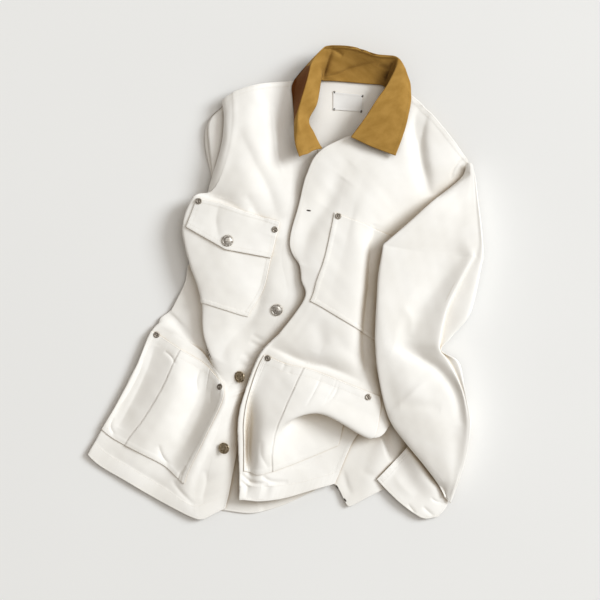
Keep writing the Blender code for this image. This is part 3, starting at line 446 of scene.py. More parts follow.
def widened(net, axes=(0, 1)):
    # one more row and column all round, in line with the last two
    for axis in axes:
        net = np.moveaxis(net, axis, 0)
        net = np.concatenate([2 * net[:1] - net[1:2], net, 2 * net[-1:] - net[-2:-1]])
        net = np.moveaxis(net, 0, axis)
    return net


def knotWeights(at, count):
    # Catmull-Rom: the first of four knots and their shares, at each place along a line of knots
    first = np.clip(np.floor(at).astype(int), 0, count - 2)
    t = at - first
    return first, (-0.5 * t + t ** 2 - 0.5 * t ** 3, 1 - 2.5 * t ** 2 + 1.5 * t ** 3,
                   0.5 * t + 2 * t ** 2 - 1.5 * t ** 3, 0.5 * t ** 3 - 0.5 * t ** 2)


def onNet(net, down, across):
    row, rowShare = knotWeights(down, net.shape[0] - 2)
    column, columnShare = knotWeights(across, net.shape[1] - 2)
    point = np.zeros(down.shape + (3,))
    for a in range(4):
        for b in range(4):
            point += (rowShare[a] * columnShare[b])[..., None] * net[row + a, column + b]
    return point


def smoothLine(points, steps=8):
    knots = widened(np.array(points, dtype=float), (0,))
    at = np.linspace(0, len(points) - 1, (len(points) - 1) * steps + 1)
    first, share = knotWeights(at, len(points))
    return sum(share[k][:, None] * knots[first + k] for k in range(4))


def creaseRise(x, y, crease):
    # height that one crease adds: it swells and fades along its path
    path, rise, left, right, power = crease
    line = smoothLine(path)
    reach = 2.6 * max(left, right)
    near = ((x > line[:, 0].min() - reach) & (x < line[:, 0].max() + reach)
            & (y > line[:, 1].min() - reach) & (y < line[:, 1].max() + reach))
    px, py = x[near], y[near]
    best = np.full(px.shape, np.inf)
    side = np.zeros(px.shape)
    along = np.zeros(px.shape)
    for k in range(len(line) - 1):
        a, run = line[k], line[k + 1] - line[k]
        t = np.clip(((px - a[0]) * run[0] + (py - a[1]) * run[1]) / (run @ run), 0, 1)
        dx, dy = px - a[0] - t * run[0], py - a[1] - t * run[1]
        gap = np.hypot(dx, dy)
        nearer = gap < best
        best = np.where(nearer, gap, best)
        side = np.where(nearer, run[0] * dy - run[1] * dx, side)
        along = np.where(nearer, (k + t) / (len(line) - 1), along)
    spread = np.where(side > 0, left, right)
    total = np.zeros(x.shape)
    total[near] = rise * np.sin(np.pi * along) ** 0.6 * np.exp(-np.sqrt((best / spread) ** 2 + 0.02) ** power)
    return total


def uneven(x, y, seed, size, height):
    # slow swells of cloth that never lies quite flat
    draw = np.random.default_rng(seed)
    total = np.zeros(x.shape)
    for k in range(9):
        angle, phase = draw.uniform(0, 2 * np.pi, 2)
        wave = size * draw.uniform(0.7, 1.8)
        total += np.sin((x * np.cos(angle) + y * np.sin(angle)) * 2 * np.pi / wave + phase)
    return total * height / 3


def neighbours(grid):
    # nine copies of a grid, each shifted to one of the places round a cell or left where it is
    wide = np.pad(grid, 1, mode="edge")
    return [wide[a:wide.shape[0] - 2 + a, b:wide.shape[1] - 2 + b] for a in range(3) for b in range(3)]


class Pile:
    # height of everything laid down so far, on a square grid
    cell = 2.0
    reach = 420.0

    def __init__(self):
        count = int(2 * self.reach / self.cell) + 1
        self.height = np.zeros((count, count))

    def add(self, points, extra=0.0):
        spans = np.linspace(0.0, 1.0, 4)
        for u in spans:
            for v in spans:
                at = ((1 - u) * (1 - v) * points[:-1, :-1] + (1 - u) * v * points[:-1, 1:]
                      + u * (1 - v) * points[1:, :-1] + u * v * points[1:, 1:]).reshape(-1, 3)
                place = np.rint((at[:, :2] + self.reach) / self.cell).astype(int)
                np.maximum.at(self.height, (place[:, 0], place[:, 1]), at[:, 2] + extra)

    def cover(self, spread):
        # what a sheet of cloth laid over the pile would rest on, as a function of place
        top = self.height
        for turn in range(int(np.ceil(spread / self.cell))):
            top = np.max(neighbours(top), axis=0)
        soft = top
        for turn in range(2):
            soft = sum(neighbours(soft)) / 9

        def level(x, y):
            i = np.clip((x + self.reach) / self.cell, 0, soft.shape[0] - 1.001)
            j = np.clip((y + self.reach) / self.cell, 0, soft.shape[1] - 1.001)
            i0, j0 = i.astype(int), j.astype(int)
            u, v = i - i0, j - j0
            return ((1 - u) * (1 - v) * soft[i0, j0] + u * (1 - v) * soft[i0 + 1, j0]
                    + (1 - u) * v * soft[i0, j0 + 1] + u * v * soft[i0 + 1, j0 + 1])
        return level


def normalsOf(points):
    normal = np.cross(np.gradient(points, axis=0), np.gradient(points, axis=1))
    return normal / np.maximum(np.linalg.norm(normal, axis=2, keepdims=True), 1e-9)


# how cloth lies on cloth, how its cut edges round off, and how far apart its slow swells are
lying = {"gap": 1.2, "softness": 1.2, "edgeReach": 1.2, "edgeShare": 0.4, "swellSize": 70, "rippleSize": 22,
         "ripple": 0.22}


class Panel:
    # a piece of the pattern: its net, its creases and what it lies on, bridged as far as settings say
    def __init__(self, name, rows, columns, settings):
        self.columns, self.wall, self.swell = columns, settings["wall"], settings["swell"]
        self.below = pile.cover(settings["bridge"])
        self.net = widened(np.array([row[1:] for row in rows], dtype=float))
        self.rows = [row[0] for row in rows]
        self.own = creases[name]
        self.last = (len(rows) - 1, len(columns) - 1)
        self.seed = sum(map(ord, name))

    def place(self, down, across):
        point = onNet(self.net, down, across)
        x, y = point[..., 0].copy(), point[..., 1].copy()
        for crease in self.own:
            point[..., 2] += creaseRise(x, y, crease)
        point[..., 2] += (uneven(x, y, self.seed, lying["swellSize"], self.swell)
                          + uneven(x, y, self.seed + 1, lying["rippleSize"], self.swell * lying["ripple"]))
        low = self.below(x, y)
        rest, height = low + lying["gap"] + self.wall, point[..., 2]
        lifted = 0.5 * (height + rest + np.sqrt((height - rest) ** 2 + lying["softness"] ** 2))
        point[..., 2] = np.where(low > 0.05, lifted, np.maximum(height, self.wall))
        return point

    def facing(self, down, across, step=0.02):
        a = self.place(down + step, across) - self.place(down - step, across)
        b = self.place(down, across + step) - self.place(down, across - step)
        normal = np.cross(a, b)
        return normal / np.linalg.norm(normal, axis=-1, keepdims=True)

    def locate(self, x, y):
        # where on the panel a place seen from above lies: the nearest sample, then Newton's steps
        down, across = np.meshgrid(np.linspace(0, self.last[0], self.last[0] * 16 + 1),
                                   np.linspace(0, self.last[1], self.last[1] * 16 + 1), indexing="ij")
        net = onNet(self.net, down, across).reshape(-1, 3)
        gap = np.hypot(net[:, 0][None] - x[:, None], net[:, 1][None] - y[:, None]) - 0.35 * net[:, 2][None]
        start = gap.argmin(axis=1)
        t, s = down.reshape(-1)[start], across.reshape(-1)[start]
        for turn in range(8):
            here = onNet(self.net, t, s)
            a = (onNet(self.net, t + 0.01, s) - here) / 0.01
            b = (onNet(self.net, t, s + 0.01) - here) / 0.01
            ex, ey = x - here[:, 0], y - here[:, 1]
            size = a[:, 0] * b[:, 1] - a[:, 1] * b[:, 0]
            size = np.where(abs(size) < 1, np.inf, size)
            t = t + np.clip((ex * b[:, 1] - ey * b[:, 0]) / size, -0.4, 0.4)
            s = s + np.clip((a[:, 0] * ey - a[:, 1] * ex) / size, -0.4, 0.4)
        return t, s


def sideLanes(band=0.0, seams=()):
    # distances from an edge where the mesh needs a line: its rounding, a fold's step, each seam
    lanes = [0.0, 0.5, 1.3]
    if band:
        lanes += [band - 0.6, band + 0.6]
    for seam in seams:
        lanes += [seam - 1.0, seam, seam + 1.0]
    lanes = sorted(lanes)
    kept = [lanes[0]]
    for lane in lanes[1:]:
        if lane - kept[-1] > 0.35:
            kept.append(lane)
    return np.array(kept)


def lanesAcross(length, near, far, count):
    middle = np.linspace(near[-1], length - far[-1], count + 2)[1:-1]
    return np.concatenate([near, middle, (length - far)[::-1]])


def cumulative(points, axis):
    step = np.linalg.norm(np.diff(points, axis=axis), axis=-1)
    zero = np.zeros_like(np.take(step, [0], axis=axis))
    return np.concatenate([zero, np.cumsum(step, axis=axis)], axis=axis)


def layGrid(surface, downRange, acrossRange, settings):
    # a grid of places over a part of a panel, with lines at fixed distances from its four sides
    cell, sides = settings["cell"] * coarser, settings["sides"]
    down = np.linspace(*downRange, 8 * max(2, math.ceil(abs(downRange[1] - downRange[0]))) + 1)
    across = np.linspace(*acrossRange, 8 * max(2, math.ceil(abs(acrossRange[1] - acrossRange[0]))) + 1)
    net = surface(*np.meshgrid(down, across, indexing="ij"))
    downLength, acrossLength = cumulative(net, 0), cumulative(net, 1)
    top, bottom, left, right = (sideLanes(*sides.get(side, ())[:2])
                                for side in ("top", "bottom", "left", "right"))
    rowCount = int(max(downLength[-1]) / cell)
    columnCount = int(max(acrossLength[:, -1]) / cell)
    rowLanes = np.array([lanesAcross(downLength[-1, k], top, bottom, rowCount) for k in range(len(across))]).T
    columnLanes = np.array([lanesAcross(acrossLength[k, -1], left, right, columnCount)
                            for k in range(len(down))])
    rowAt = np.array([np.interp(rowLanes[:, k], downLength[:, k], down) for k in range(len(across))]).T
    columnAt = np.array([np.interp(columnLanes[k], acrossLength[k], across) for k in range(len(down))])
    t = np.repeat(rowAt[:, len(across) // 2][:, None], columnAt.shape[1], 1)
    for turn in range(3):
        s = np.array([np.interp(t[:, k], down, columnAt[:, k]) for k in range(t.shape[1])]).T
        t = np.array([np.interp(s[k], across, rowAt[k]) for k in range(t.shape[0])])
    fromTop = np.array([np.interp(s[k], across, rowLanes[k]) for k in range(t.shape[0])])
    fromLeft = np.array([np.interp(t[:, k], down, columnLanes[:, k]) for k in range(t.shape[1])]).T
    height = np.array([np.interp(s[k], across, downLength[-1]) for k in range(t.shape[0])])
    width = np.array([np.interp(t[:, k], down, acrossLength[:, -1]) for k in range(t.shape[1])]).T
    return {"down": t, "across": s, "top": fromTop, "left": fromLeft, "bottom": height - fromTop,
            "right": width - fromLeft}


def inward(distance, edge, soft):
    # 1 inside an edge, 0 outside it
    t = np.clip((edge - distance) / soft * 0.5 + 0.5, 0, 1)
    return t * t * (3 - 2 * t)


def edgeWork(grid, settings, seed, dent):
    # rise of turned hems and seam allowances, dents under the stitching, and the pucker beside them
    dent, groove = settings.get("dent", dent), settings.get("groove", 0.8)
    rise = np.zeros(grid["down"].shape)
    for side, run in (("top", "left"), ("bottom", "left"), ("left", "top"), ("right", "top")):
        band, seams = settings["sides"].get(side, (0.0, ()))
        distance, along = grid[side], grid[run]
        if band:
            rise = np.maximum(rise, 0.35 * inward(distance, band, 1.2))
        for k, seam in enumerate(seams):
            rise = rise - dent * np.exp(-((distance - seam) / groove) ** 2)
            swing = (np.sin(along * 2 * np.pi / 9.3 + seed + k)
                     + 0.7 * np.sin(along * 2 * np.pi / 5.7 + seed * 2)
                     + 0.8 * np.sin(along * 2 * np.pi / 23.0 + seed * 3))
            rise = rise + 0.03 * swing * np.exp(-(distance - seam) ** 2 / 30)
    return rise


def bring(name, mesh):
    # a mesh into the scene, on the one body
    piece = bpy.data.objects.new(name, mesh)
    bpy.context.scene.collection.objects.link(piece)
    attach(piece, "root")
    return piece


def meshPiece(name, points, faces, flat, material):
    # a piece from its points and faces, with each point's place on a map of the cloth's own width and length
    mesh = bpy.data.meshes.new(name)
    mesh.from_pydata((points * mm).tolist(), [], faces)
    layer = mesh.uv_layers.new(name="cloth")
    corners = np.empty(len(mesh.loops), dtype=np.int64)
    mesh.loops.foreach_get("vertex_index", corners)
    layer.data.foreach_set("uv", (flat * mm)[corners].reshape(-1).astype(np.float32))
    mesh.materials.append(material)
    mesh.shade_smooth()
    return bring(name, mesh)


def clothMesh(name, top, bottom, grid, material):
    # a closed sheet between two grids
    count = top.shape[0] * top.shape[1]
    index = np.arange(count).reshape(top.shape[:2])
    corners = (index[:-1, :-1], index[1:, :-1], index[1:, 1:], index[:-1, 1:])
    a, b, c, d = (corner.reshape(-1) for corner in corners)
    faces = [np.stack([a, b, c, d], 1), np.stack([a, d, c, b], 1) + count]
    rim = np.concatenate([index[0, :-1], index[:-1, -1], index[-1, :0:-1], index[:0:-1, 0]])
    after = np.roll(rim, -1)
    faces.append(np.stack([rim, after, after + count, rim + count], 1))
    points = np.concatenate([top.reshape(-1, 3), bottom.reshape(-1, 3)])
    flat = np.stack([grid["left"].reshape(-1), -grid["top"].reshape(-1)], 1)
    return meshPiece(name, points, np.concatenate(faces).tolist(), np.tile(flat, (2, 1)), material)


def closeSheet(name, panel, grid, settings, base, normal, rise, lift, material):
    # the two faces of a sheet that stands on a base, by a lift, with its cut edges rounded, and its mesh
    wall = settings["wall"]
    edge = np.minimum.reduce([grid[side] for side in ("top", "bottom", "left", "right")]) / lying["edgeReach"]
    edge = (1 - np.sqrt(1 - (1 - np.clip(edge, 0, 1)) ** 2)) * wall * lying["edgeShare"]
    grid["points"] = base + normal * (lift + wall + rise - edge)[..., None]
    bottom = base + normal * (lift + edge)[..., None]
    bottom[..., 2] = np.maximum(bottom[..., 2], 0.0)
    grid["normals"], grid["panel"], grid["sides"] = normalsOf(grid["points"]), panel, settings["sides"]
    grid["piece"] = clothMesh(name, grid["points"], bottom, grid, material)
    return grid


def clothPanel(name, panel, settings, material=cottonTwill):
    grid = layGrid(lambda t, s: onNet(panel.net, t, s), (0, panel.last[0]), (0, panel.last[1]), settings)
    base = panel.place(grid["down"], grid["across"])
    rise = edgeWork(grid, settings, panel.seed % 7, 0.12)
    return closeSheet(name, panel, grid, settings, base, normalsOf(base), rise, -panel.wall, material)


def sewOn(name, panel, grid, settings, shape, material=cottonTwill, slot="cloth"):
    base = panel.place(grid["down"], grid["across"])
    normal = panel.facing(grid["down"], grid["across"])
    rise = edgeWork(grid, settings, len(name), 0.1)
    if shape:
        rise = rise + shape(grid)
    return closeSheet(name, panel, grid, settings, base, normal, rise, settings["lift"], material)


def patch(name, panel, outline, settings, shape, *finish):
    # a piece sewn on a panel: its four sides are laid on the panel, and it repeats the panel's points
    edges = {}
    for side, line in outline.items():
        line = np.array(line, dtype=float)
        steps = np.linspace(0, len(line) - 1, (len(line) - 1) * 6 + 1)
        line = np.stack([np.interp(steps, range(len(line)), line[:, k]) for k in (0, 1)], 1)
        places = np.stack(panel.locate(line[:, 0], line[:, 1]), 1)
        edges[side] = (cumulative(line, 0) / cumulative(line, 0)[-1], places)

    def inside(v, u):
        at = {side: np.stack([np.interp(u if side in ("top", "bottom") else v, share, places[:, k])
                              for k in (0, 1)], -1) for side, (share, places) in edges.items()}
        u, v = u[..., None], v[..., None]
        corner = {side: (edges[side][1][0], edges[side][1][-1]) for side in ("top", "bottom")}
        return ((1 - v) * at["top"] + v * at["bottom"] + (1 - u) * at["left"] + u * at["right"]
                - (1 - v) * ((1 - u) * corner["top"][0] + u * corner["top"][1])
                - v * ((1 - u) * corner["bottom"][0] + u * corner["bottom"][1]))

    def surface(v, u):
        return onNet(panel.net, *np.moveaxis(inside(v, u), -1, 0))

    grid = layGrid(surface, (0, 1), (0, 1), settings)
    grid["v"], grid["u"] = grid["down"], grid["across"]
    grid["down"], grid["across"] = np.moveaxis(inside(grid["v"], grid["u"]), -1, 0)
    return sewOn(name, panel, grid, settings, shape, *finish)


def pocket(name, panel, part, settings, shape=None):
    # a piece sewn over a part of a panel: first and last row, first and last column
    first, last, left, right = part
    rows = (panel.rows.index(first), panel.rows.index(last))
    columns = (panel.columns.index(left), panel.columns.index(right))
    grid = layGrid(lambda t, s: onNet(panel.net, t, s), rows, columns, settings)
    grid["v"] = (grid["down"] - rows[0]) / (rows[1] - rows[0])
    return sewOn(name, panel, grid, settings, shape)


def seamLine(grid, side, distance):
    # points and normals along a side of a sewn piece, at a fixed distance from it
    away, points, normals = grid[side], grid["points"], grid["normals"]
    if side in ("left", "right"):
        away, points, normals = away.T, points.swapaxes(0, 1), normals.swapaxes(0, 1)
    if side in ("bottom", "right"):
        away, points, normals = away[::-1], points[::-1], normals[::-1]
    count = points.shape[1]
    line = np.empty((count, 6))
    for k in range(count):
        for axis in range(3):
            line[k, axis] = np.interp(distance, away[:, k], points[:, k, axis])
            line[k, axis + 3] = np.interp(distance, away[:, k], normals[:, k, axis])
    return line


def pathLine(grid, path, lift):
    # points and normals along a path that is given as seen from above
    line = smoothLine(path, 10)
    panel = grid["panel"]
    down, across = panel.locate(line[:, 0], line[:, 1])
    normal = panel.facing(down, across)
    return np.concatenate([panel.place(down, across) + normal * lift, normal], 1)


def stitches(name, lines, thread, length=2.7, gap=0.9, radius=0.28):
    # each stitch is a short thread that dips into the cloth at both ends
    points, faces = [], []
    ring = np.array([(0.0, 1.0), (0.9, 0.1), (0.0, -0.6), (-0.9, 0.1)])
    for line in lines:
        travelled = cumulative(line[:, :3], 0)
        total = travelled[-1]
        starts = np.arange(1.0, total - length, length + gap)
        for start in starts:
            at = start + np.array([0.0, 0.3, 0.7, 1.0]) * length
            here = np.stack([np.interp(at, travelled, line[:, k]) for k in range(6)], 1)
            up = here[:, 3:] / np.linalg.norm(here[:, 3:], axis=1, keepdims=True)
            run = here[3, :3] - here[0, :3]
            side = np.cross(run / np.linalg.norm(run), up)
            first = len(points)
            points.append(here[0, :3] - up[0] * 0.25)
            for k in (1, 2):
                points += [here[k, :3] + radius * (a * side[k] + b * up[k]) for a, b in ring]
            points.append(here[3, :3] - up[3] * 0.25)
            for k in range(4):
                n = (k + 1) % 4
                faces.append((first, first + 1 + n, first + 1 + k))
                faces.append((first + 1 + k, first + 1 + n, first + 5 + n, first + 5 + k))
                faces.append((first + 9, first + 5 + k, first + 5 + n))
    points = np.array(points)
    return meshPiece(name, points, faces, points[:, :2], thread)


def report(grid):
    a = grid["points"] * mm
    area = np.linalg.norm(np.cross(a[1:, :-1] - a[:-1, :-1], a[:-1, 1:] - a[:-1, :-1]), axis=-1).sum()
    print(grid["piece"].name, round(area, 4), "m2 of cloth")


# what each layer lies on
pile = Pile()

# the right sleeve, folded under: one rounded bundle of cloth with the layers' edges at its side
foldedSleeve = {"layers": 2, "spill": 7.0, "height": 15.0, "lipPoints": 7, "topPoints": 14}


def buildFoldedSleeve():
    # left and right side of each section, from the shoulder down
    rows = (("cap", (-100, 286), (-28, 280)), ("armTop", (-124, 261), (-23, 248)),
            ("arm", (-127, 221), (-15, 197)), ("bicep", (-118, 165), (1, 133)),
            ("elbow", (-102, 85), (14, 61)), ("forearm", (-92, -3), (7, -11)), ("wrist", (-82, -75), (-2, -75)))
    left, right = (smoothLine([row[side] for row in rows], 12) for side in (1, 2))
    layers, lipPoints, topPoints = (foldedSleeve[key] for key in ("layers", "lipPoints", "topPoints"))
    sideCount = 1 + lipPoints * layers
    count = len(left)
    sections = []
    for k in range(count):
        across = right[k] - left[k]
        width = np.linalg.norm(across)
        across = across / width
        height = foldedSleeve["height"] * min(1.0, 0.35 + 0.65 * math.sin(math.pi * (k + 0.5) / count) ** 0.5)
        profile = [(0.0, 0.0)]
        for layer in range(layers):
            low, high = height * layer / layers, height * (layer + 1) / layers
            tuck = 2.0 + layer ** 1.5 * foldedSleeve["spill"] * 0.6
            swing = 1.6 * math.sin(k * 0.21 + layer * 2.1)
            for angle in np.linspace(-1.35, 1.35, lipPoints):
                out, up = (high - low) * 0.5 * math.cos(angle) * 1.3, (high - low) * 0.5 * math.sin(angle)
                profile.append((tuck - out + swing + 1.6, (low + high) / 2 + up))
        top = profile[-1]
        for s in np.linspace(0.08, 0.92, topPoints):
            profile.append((top[0] + (width - 2 * top[0]) * s, top[1] + 1.0 * math.sin(math.pi * s)))
        profile += [(width - a, b) for a, b in profile[:sideCount]][::-1]
        sections.append([(left[k][0] + across[0] * a, left[k][1] + across[1] * a, b) for a, b in profile])
    points = np.array(sections)
    index = np.arange(points.shape[0] * points.shape[1]).reshape(points.shape[:2])
    around = np.roll(index, -1, axis=1)
    faces = np.stack([index[:-1], index[1:], around[1:], around[:-1]], -1).reshape(-1, 4).tolist()
    faces += [index[0].tolist(), index[-1, ::-1].tolist()]
    flat = points.reshape(-1, 3)
    piece = meshPiece("sleeve_right_cloth", flat, faces, flat[:, :2], cottonTwill)
    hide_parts("sleeve_right")
    pile.add(points[:, sideCount:sideCount + topPoints])
    return piece


foldedBundle = buildFoldedSleeve()

# the back: flat on the floor, its neck shows inside the collar and its hem below the fronts.
# Here and below, bridge is how far the cloth spans a step below it, swell how uneven it lies, and
# sides gives the width of a side's turned edge and the distances of its seams.
back = {"cell": 4.3, "wall": 1.8, "bridge": 12, "swell": 0.25,
        "sides": {"top": (0, (3,)), "bottom": (0, (4,)), "left": (0, (2, 8)), "right": (0, (2, 9))}}
backPanel = Panel("back", backRows, backColumns, back)
backGrid = clothPanel("back_cloth", backPanel, back)
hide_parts("back")
pile.add(backGrid["points"])
print("back laid")

# the right front, with its flapped chest pocket and the lower pocket
rightFront = {"cell": 2.5, "wall": 1.8, "bridge": 8, "swell": 0.5,
              "sides": {"top": (9, (2, 8)), "bottom": (24, (3, 23)), "right": (38, (3,))}}
rightPanel = Panel("frontRight", frontRightRows, frontRightColumns, rightFront)
rightGrid = clothPanel("front_right_cloth", rightPanel, rightFront)
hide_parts("front_right")
print("right front laid")

chestPocket = {"cell": 2.2, "wall": 1.4, "lift": 0.2,
               "sides": {"left": (7, (1.8, 7)), "right": (7, (1.8, 7)), "bottom": (7, (1.8, 7))}}
chestRightGrid = pocket("chest_pocket_right_cloth", rightPanel, ("flapTop", "pocketBottom", "dip", "pocketIn"),
                        chestPocket)
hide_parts("chest_pocket_right")

flapRight = {"cell": 2.0, "wall": 1.5, "lift": 1.9, "curl": 1.6, "curlReach": 14,
             "sides": {"left": (0, (1.8, 7)), "right": (0, (1.8, 7)), "bottom": (0, (1.8, 7)),
                       "top": (6, (1.8, 6))}}


def flapCurl(grid):
    # the flap's point stands a little off the pocket
    return flapRight["curl"] * np.exp(-(grid["bottom"] / flapRight["curlReach"]) ** 2)


flapOutline = {"top": ((-141, 135), (-102, 126), (-65, 113), (-9, 97)),
               "bottom": ((-158, 89), (-95, 53), (-23, 40)),
               "left": ((-141, 135), (-158, 89)), "right": ((-9, 97), (-14, 80), (-23, 40))}
flapGrid = patch("flap_right_cloth", rightPanel, flapOutline, flapRight, flapCurl)
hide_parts("flap_right")

lowerPocket = {"cell": 1.65, "wall": 1.5, "lift": 0.3, "dent": 0.6, "groove": 1.0,
               "sides": {"left": (8, (1.8, 7.5)), "right": (8, (1.8, 7.5)), "bottom": (8, (1.8,)),
                         "top": (15, (2, 13.5))}}
rightPleats = ((0.38, 0.28, 1.3, 1.2, 2.0), (0.77, 0.80, 0.8, 0.0, 0.25))
leftPleats = ((0.34, 0.30, 1.3, 1.2, 2.0), (0.62, 0.55, 0.5, 0.0, 0.3))


def pleats(marks):
    # pressed edges down a pocket: each is a narrow groove at a share of the width, given for the top
    # and for the bottom, its depth, how much higher the cloth on its right is, and how far down it goes
    def shape(grid):
        width = grid["left"] + grid["right"]
        rise = np.zeros(width.shape)
        for top, bottom, depth, step, reach in marks:
            away = grid["left"] - (top + (bottom - top) * grid["v"]) * width
            depth = depth * inward(grid["v"], reach, 0.08)
            rise += (step * inward(-away, 0, 1.0) * np.exp(-np.maximum(away, 0) / 22)
                     - depth * np.exp(-(away / 0.8) ** 2))
        return rise
    return shape


lowerRightGrid = pocket("lower_pocket_right_cloth", rightPanel, ("lowTop", "lowBottom", "flank", "fold"),
                        lowerPocket, pleats(rightPleats))
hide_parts("lower_pocket_right")
print("right pockets sewn on")

pile.add(rightGrid["points"])
for sewn in (chestRightGrid, flapGrid, lowerRightGrid):
    pile.add(sewn["points"])

# the left front laps over the right one, and from the waist down its edge is tucked under
leftFront = {"cell": 2.55, "wall": 1.8, "bridge": 8, "swell": 0.5,
             "sides": {"top": (9, (2, 8)), "bottom": (24, (3, 23)), "left": (0, (6,)), "right": (9, (2, 8))}}
leftPanel = Panel("frontLeft", frontLeftRows, frontLeftColumns, leftFront)
leftGrid = clothPanel("front_left_cloth", leftPanel, leftFront)
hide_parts("front_left")

chestLeftGrid = pocket("chest_pocket_left_cloth", leftPanel,
                       ("pocketTop", "pocketBottom", "pocketIn", "pocketOut"), chestPocket)
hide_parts("chest_pocket_left")

# its outer edge lies under the sleeve, and its inner edge has a third seam
lowerLeft = {**lowerPocket, "sides": {**lowerPocket["sides"], "left": (9, (1.8, 4.8, 8)), "right": (0, ())}}
lowerLeftGrid = pocket("lower_pocket_left_cloth", leftPanel, ("lowTop", "lowBottom", "pocketIn", "pocketOut"),
                       lowerLeft, pleats(leftPleats))
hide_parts("lower_pocket_left")
print("left front and pockets laid")

pile.add(leftGrid["points"])
for sewn in (chestLeftGrid, lowerLeftGrid):
    pile.add(sewn["points"])

# the neck label, bare, with a dark tack at each corner
label = {"cell": 1.6, "wall": 0.6, "lift": 0.3, "sides": {"top": (3, (2,)), "bottom": (3, (2,))}}
labelOutline = {"top": ((76, 307), (124, 302)), "bottom": ((76, 278), (122, 275)),
                "left": ((76, 307), (76, 278)), "right": ((124, 302), (122, 275))}
labelGrid = patch("label_tape", backPanel, labelOutline, label, None, labelTape, "label_cloth")
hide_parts("label")

# the turned-back end of the left sleeve, then the sleeve over it
cuff = {"cell": 1.5, "wall": 1.8, "bridge": 6, "swell": 0.25, "dent": 0.9, "groove": 1.1,
        "sides": {"top": (6, (2, 5)), "right": (11, (2, 5.5, 9))}}
cuffPanel = Panel("cuff", cuffRows, cuffColumns, cuff)
cuffGrid = clothPanel("cuff_left_cloth", cuffPanel, cuff)
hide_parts("cuff_left")
pile.add(cuffGrid["points"])

leftSleeve = {"cell": 2.3, "wall": 1.8, "bridge": 4, "swell": 0.5,
              "sides": {"top": (7, (2,)), "bottom": (0, (3,))}}
sleevePanel = Panel("sleeveLeft", sleeveLeftRows, sleeveLeftColumns, leftSleeve)
sleeveGrid = clothPanel("sleeve_left_cloth", sleevePanel, leftSleeve)
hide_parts("sleeve_left")


hiddenLayers = {"rows": (1.5, 17.6, 150), "columns": (1.3, 5.4, 34), "below": 7.0, "bridge": 12, "gap": 1.4}


def buildSleeveUnder():
    # the sleeve's hidden layers: one rounded solid below the cloth that shows
    down, across = np.meshgrid(np.linspace(*hiddenLayers["rows"]), np.linspace(*hiddenLayers["columns"]),
                               indexing="ij")
    top = sleevePanel.place(down, across)
    top = top - normalsOf(top) * hiddenLayers["below"]
    low = pile.cover(hiddenLayers["bridge"])(top[..., 0], top[..., 1])
    bottom = top.copy()
    bottom[..., 2] = np.where(low > 0.05, np.minimum(low + hiddenLayers["gap"], top[..., 2] - 0.4), 0.0)
    grid = {"left": across * 30, "top": down * 30}
    piece = clothMesh("sleeve_left_layers", top, bottom, grid, cottonTwill)
    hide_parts("sleeve_left_under")
    return piece


sleeveLayers = buildSleeveUnder()
pile.add(sleeveGrid["points"])
print("left sleeve laid")

# the collar: stand and fall in one, its front right end standing, the left leaf folded down
collar = {"cell": 1.75, "wall": 2.6, "bridge": 3, "swell": 0.35,
          "sides": {"left": (0, (3,)), "right": (0, (6,)), "top": (0, (6,)), "bottom": (0, (6,))}}
collarPanel = Panel("collar", collarRows, collarColumns, collar)
collarGrid = clothPanel("collar_cloth", collarPanel, collar, brushedCotton)
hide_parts("collar")

# where the collar's end stands, its outer side shows beyond the fold, steep and in shade: that strip is marked
# by a mesh attribute for painted shade, a dark brown mixed into its colour
foldLine = smoothLine(((40, 347), (39, 338), (34, 318), (24, 286), (15, 259)))
place = np.array([point.co[:2] for point in collarGrid["piece"].data.vertices]) / mm
beyond = np.interp(-place[:, 1], -foldLine[:, 1], foldLine[:, 0]) - place[:, 0]
standing = (place[:, 1] < foldLine[0, 1]) & (place[:, 1] > foldLine[-1, 1])
beyond = np.where(standing, np.clip(beyond / 1.5, 0, 1), 0)
outer = collarGrid["piece"].data.attributes.new("collarStripShade", "FLOAT", "POINT")
outer.data.foreach_set("value", beyond.astype(np.float32))
print("collar set")


# tack buttons and rivets, modelled once and copied; foot is the narrower disc below the rim
fasteners = {"buttonRadius": 9.2, "buttonHeight": 4.0, "rivetRadius": 5.0, "rivetHeight": 1.8,
             "foot": 0.86, "footHeight": 0.35, "edge": 0.18}


def deselect():
    for item in bpy.context.selected_objects:
        item.select_set(False)


def domedDisc(name, radius, height, insets, material):
    # a disc whose top is stepped inwards ring by ring: each inset is (share of the radius, height)
    deselect()
    now, level = fasteners["foot"], height * fasteners["footHeight"]
    bpy.ops.mesh.primitive_cylinder_add(vertices=40, radius=radius * mm * now, depth=level * mm,
                                        location=(0, 0, level / 2 * mm))
    disc = bpy.context.object
    disc.name = name
    bpy.ops.object.mode_set(mode="EDIT")
    bpy.ops.mesh.select_all(action="DESELECT")
    bpy.ops.object.mode_set(mode="OBJECT")
    for face in disc.data.polygons:
        face.select = face.normal.z > 0.9
    bpy.ops.object.mode_set(mode="EDIT")
    bpy.ops.mesh.select_mode(type="FACE")
    for share, top in insets:
        bpy.ops.mesh.extrude_region_move(TRANSFORM_OT_translate={"value": (0, 0, (top - level) * mm)})
        scale = share / now
        bpy.ops.transform.resize(value=(scale, scale, 1.0))
        now, level = share, top
    bpy.ops.mesh.select_all(action="SELECT")
    bpy.ops.mesh.normals_make_consistent(inside=False)
    bpy.ops.object.mode_set(mode="OBJECT")
    bevel = disc.modifiers.new("edge", "BEVEL")
    bevel.width = fasteners["edge"] * mm
    bevel.segments = 2
    bevel.limit_method = "ANGLE"
    bevel.angle_limit = math.radians(35)
    bpy.ops.object.modifier_apply(modifier="edge")
    bpy.ops.object.shade_smooth_by_angle(angle=math.radians(40))
    disc.data.materials.append(material)
    return disc


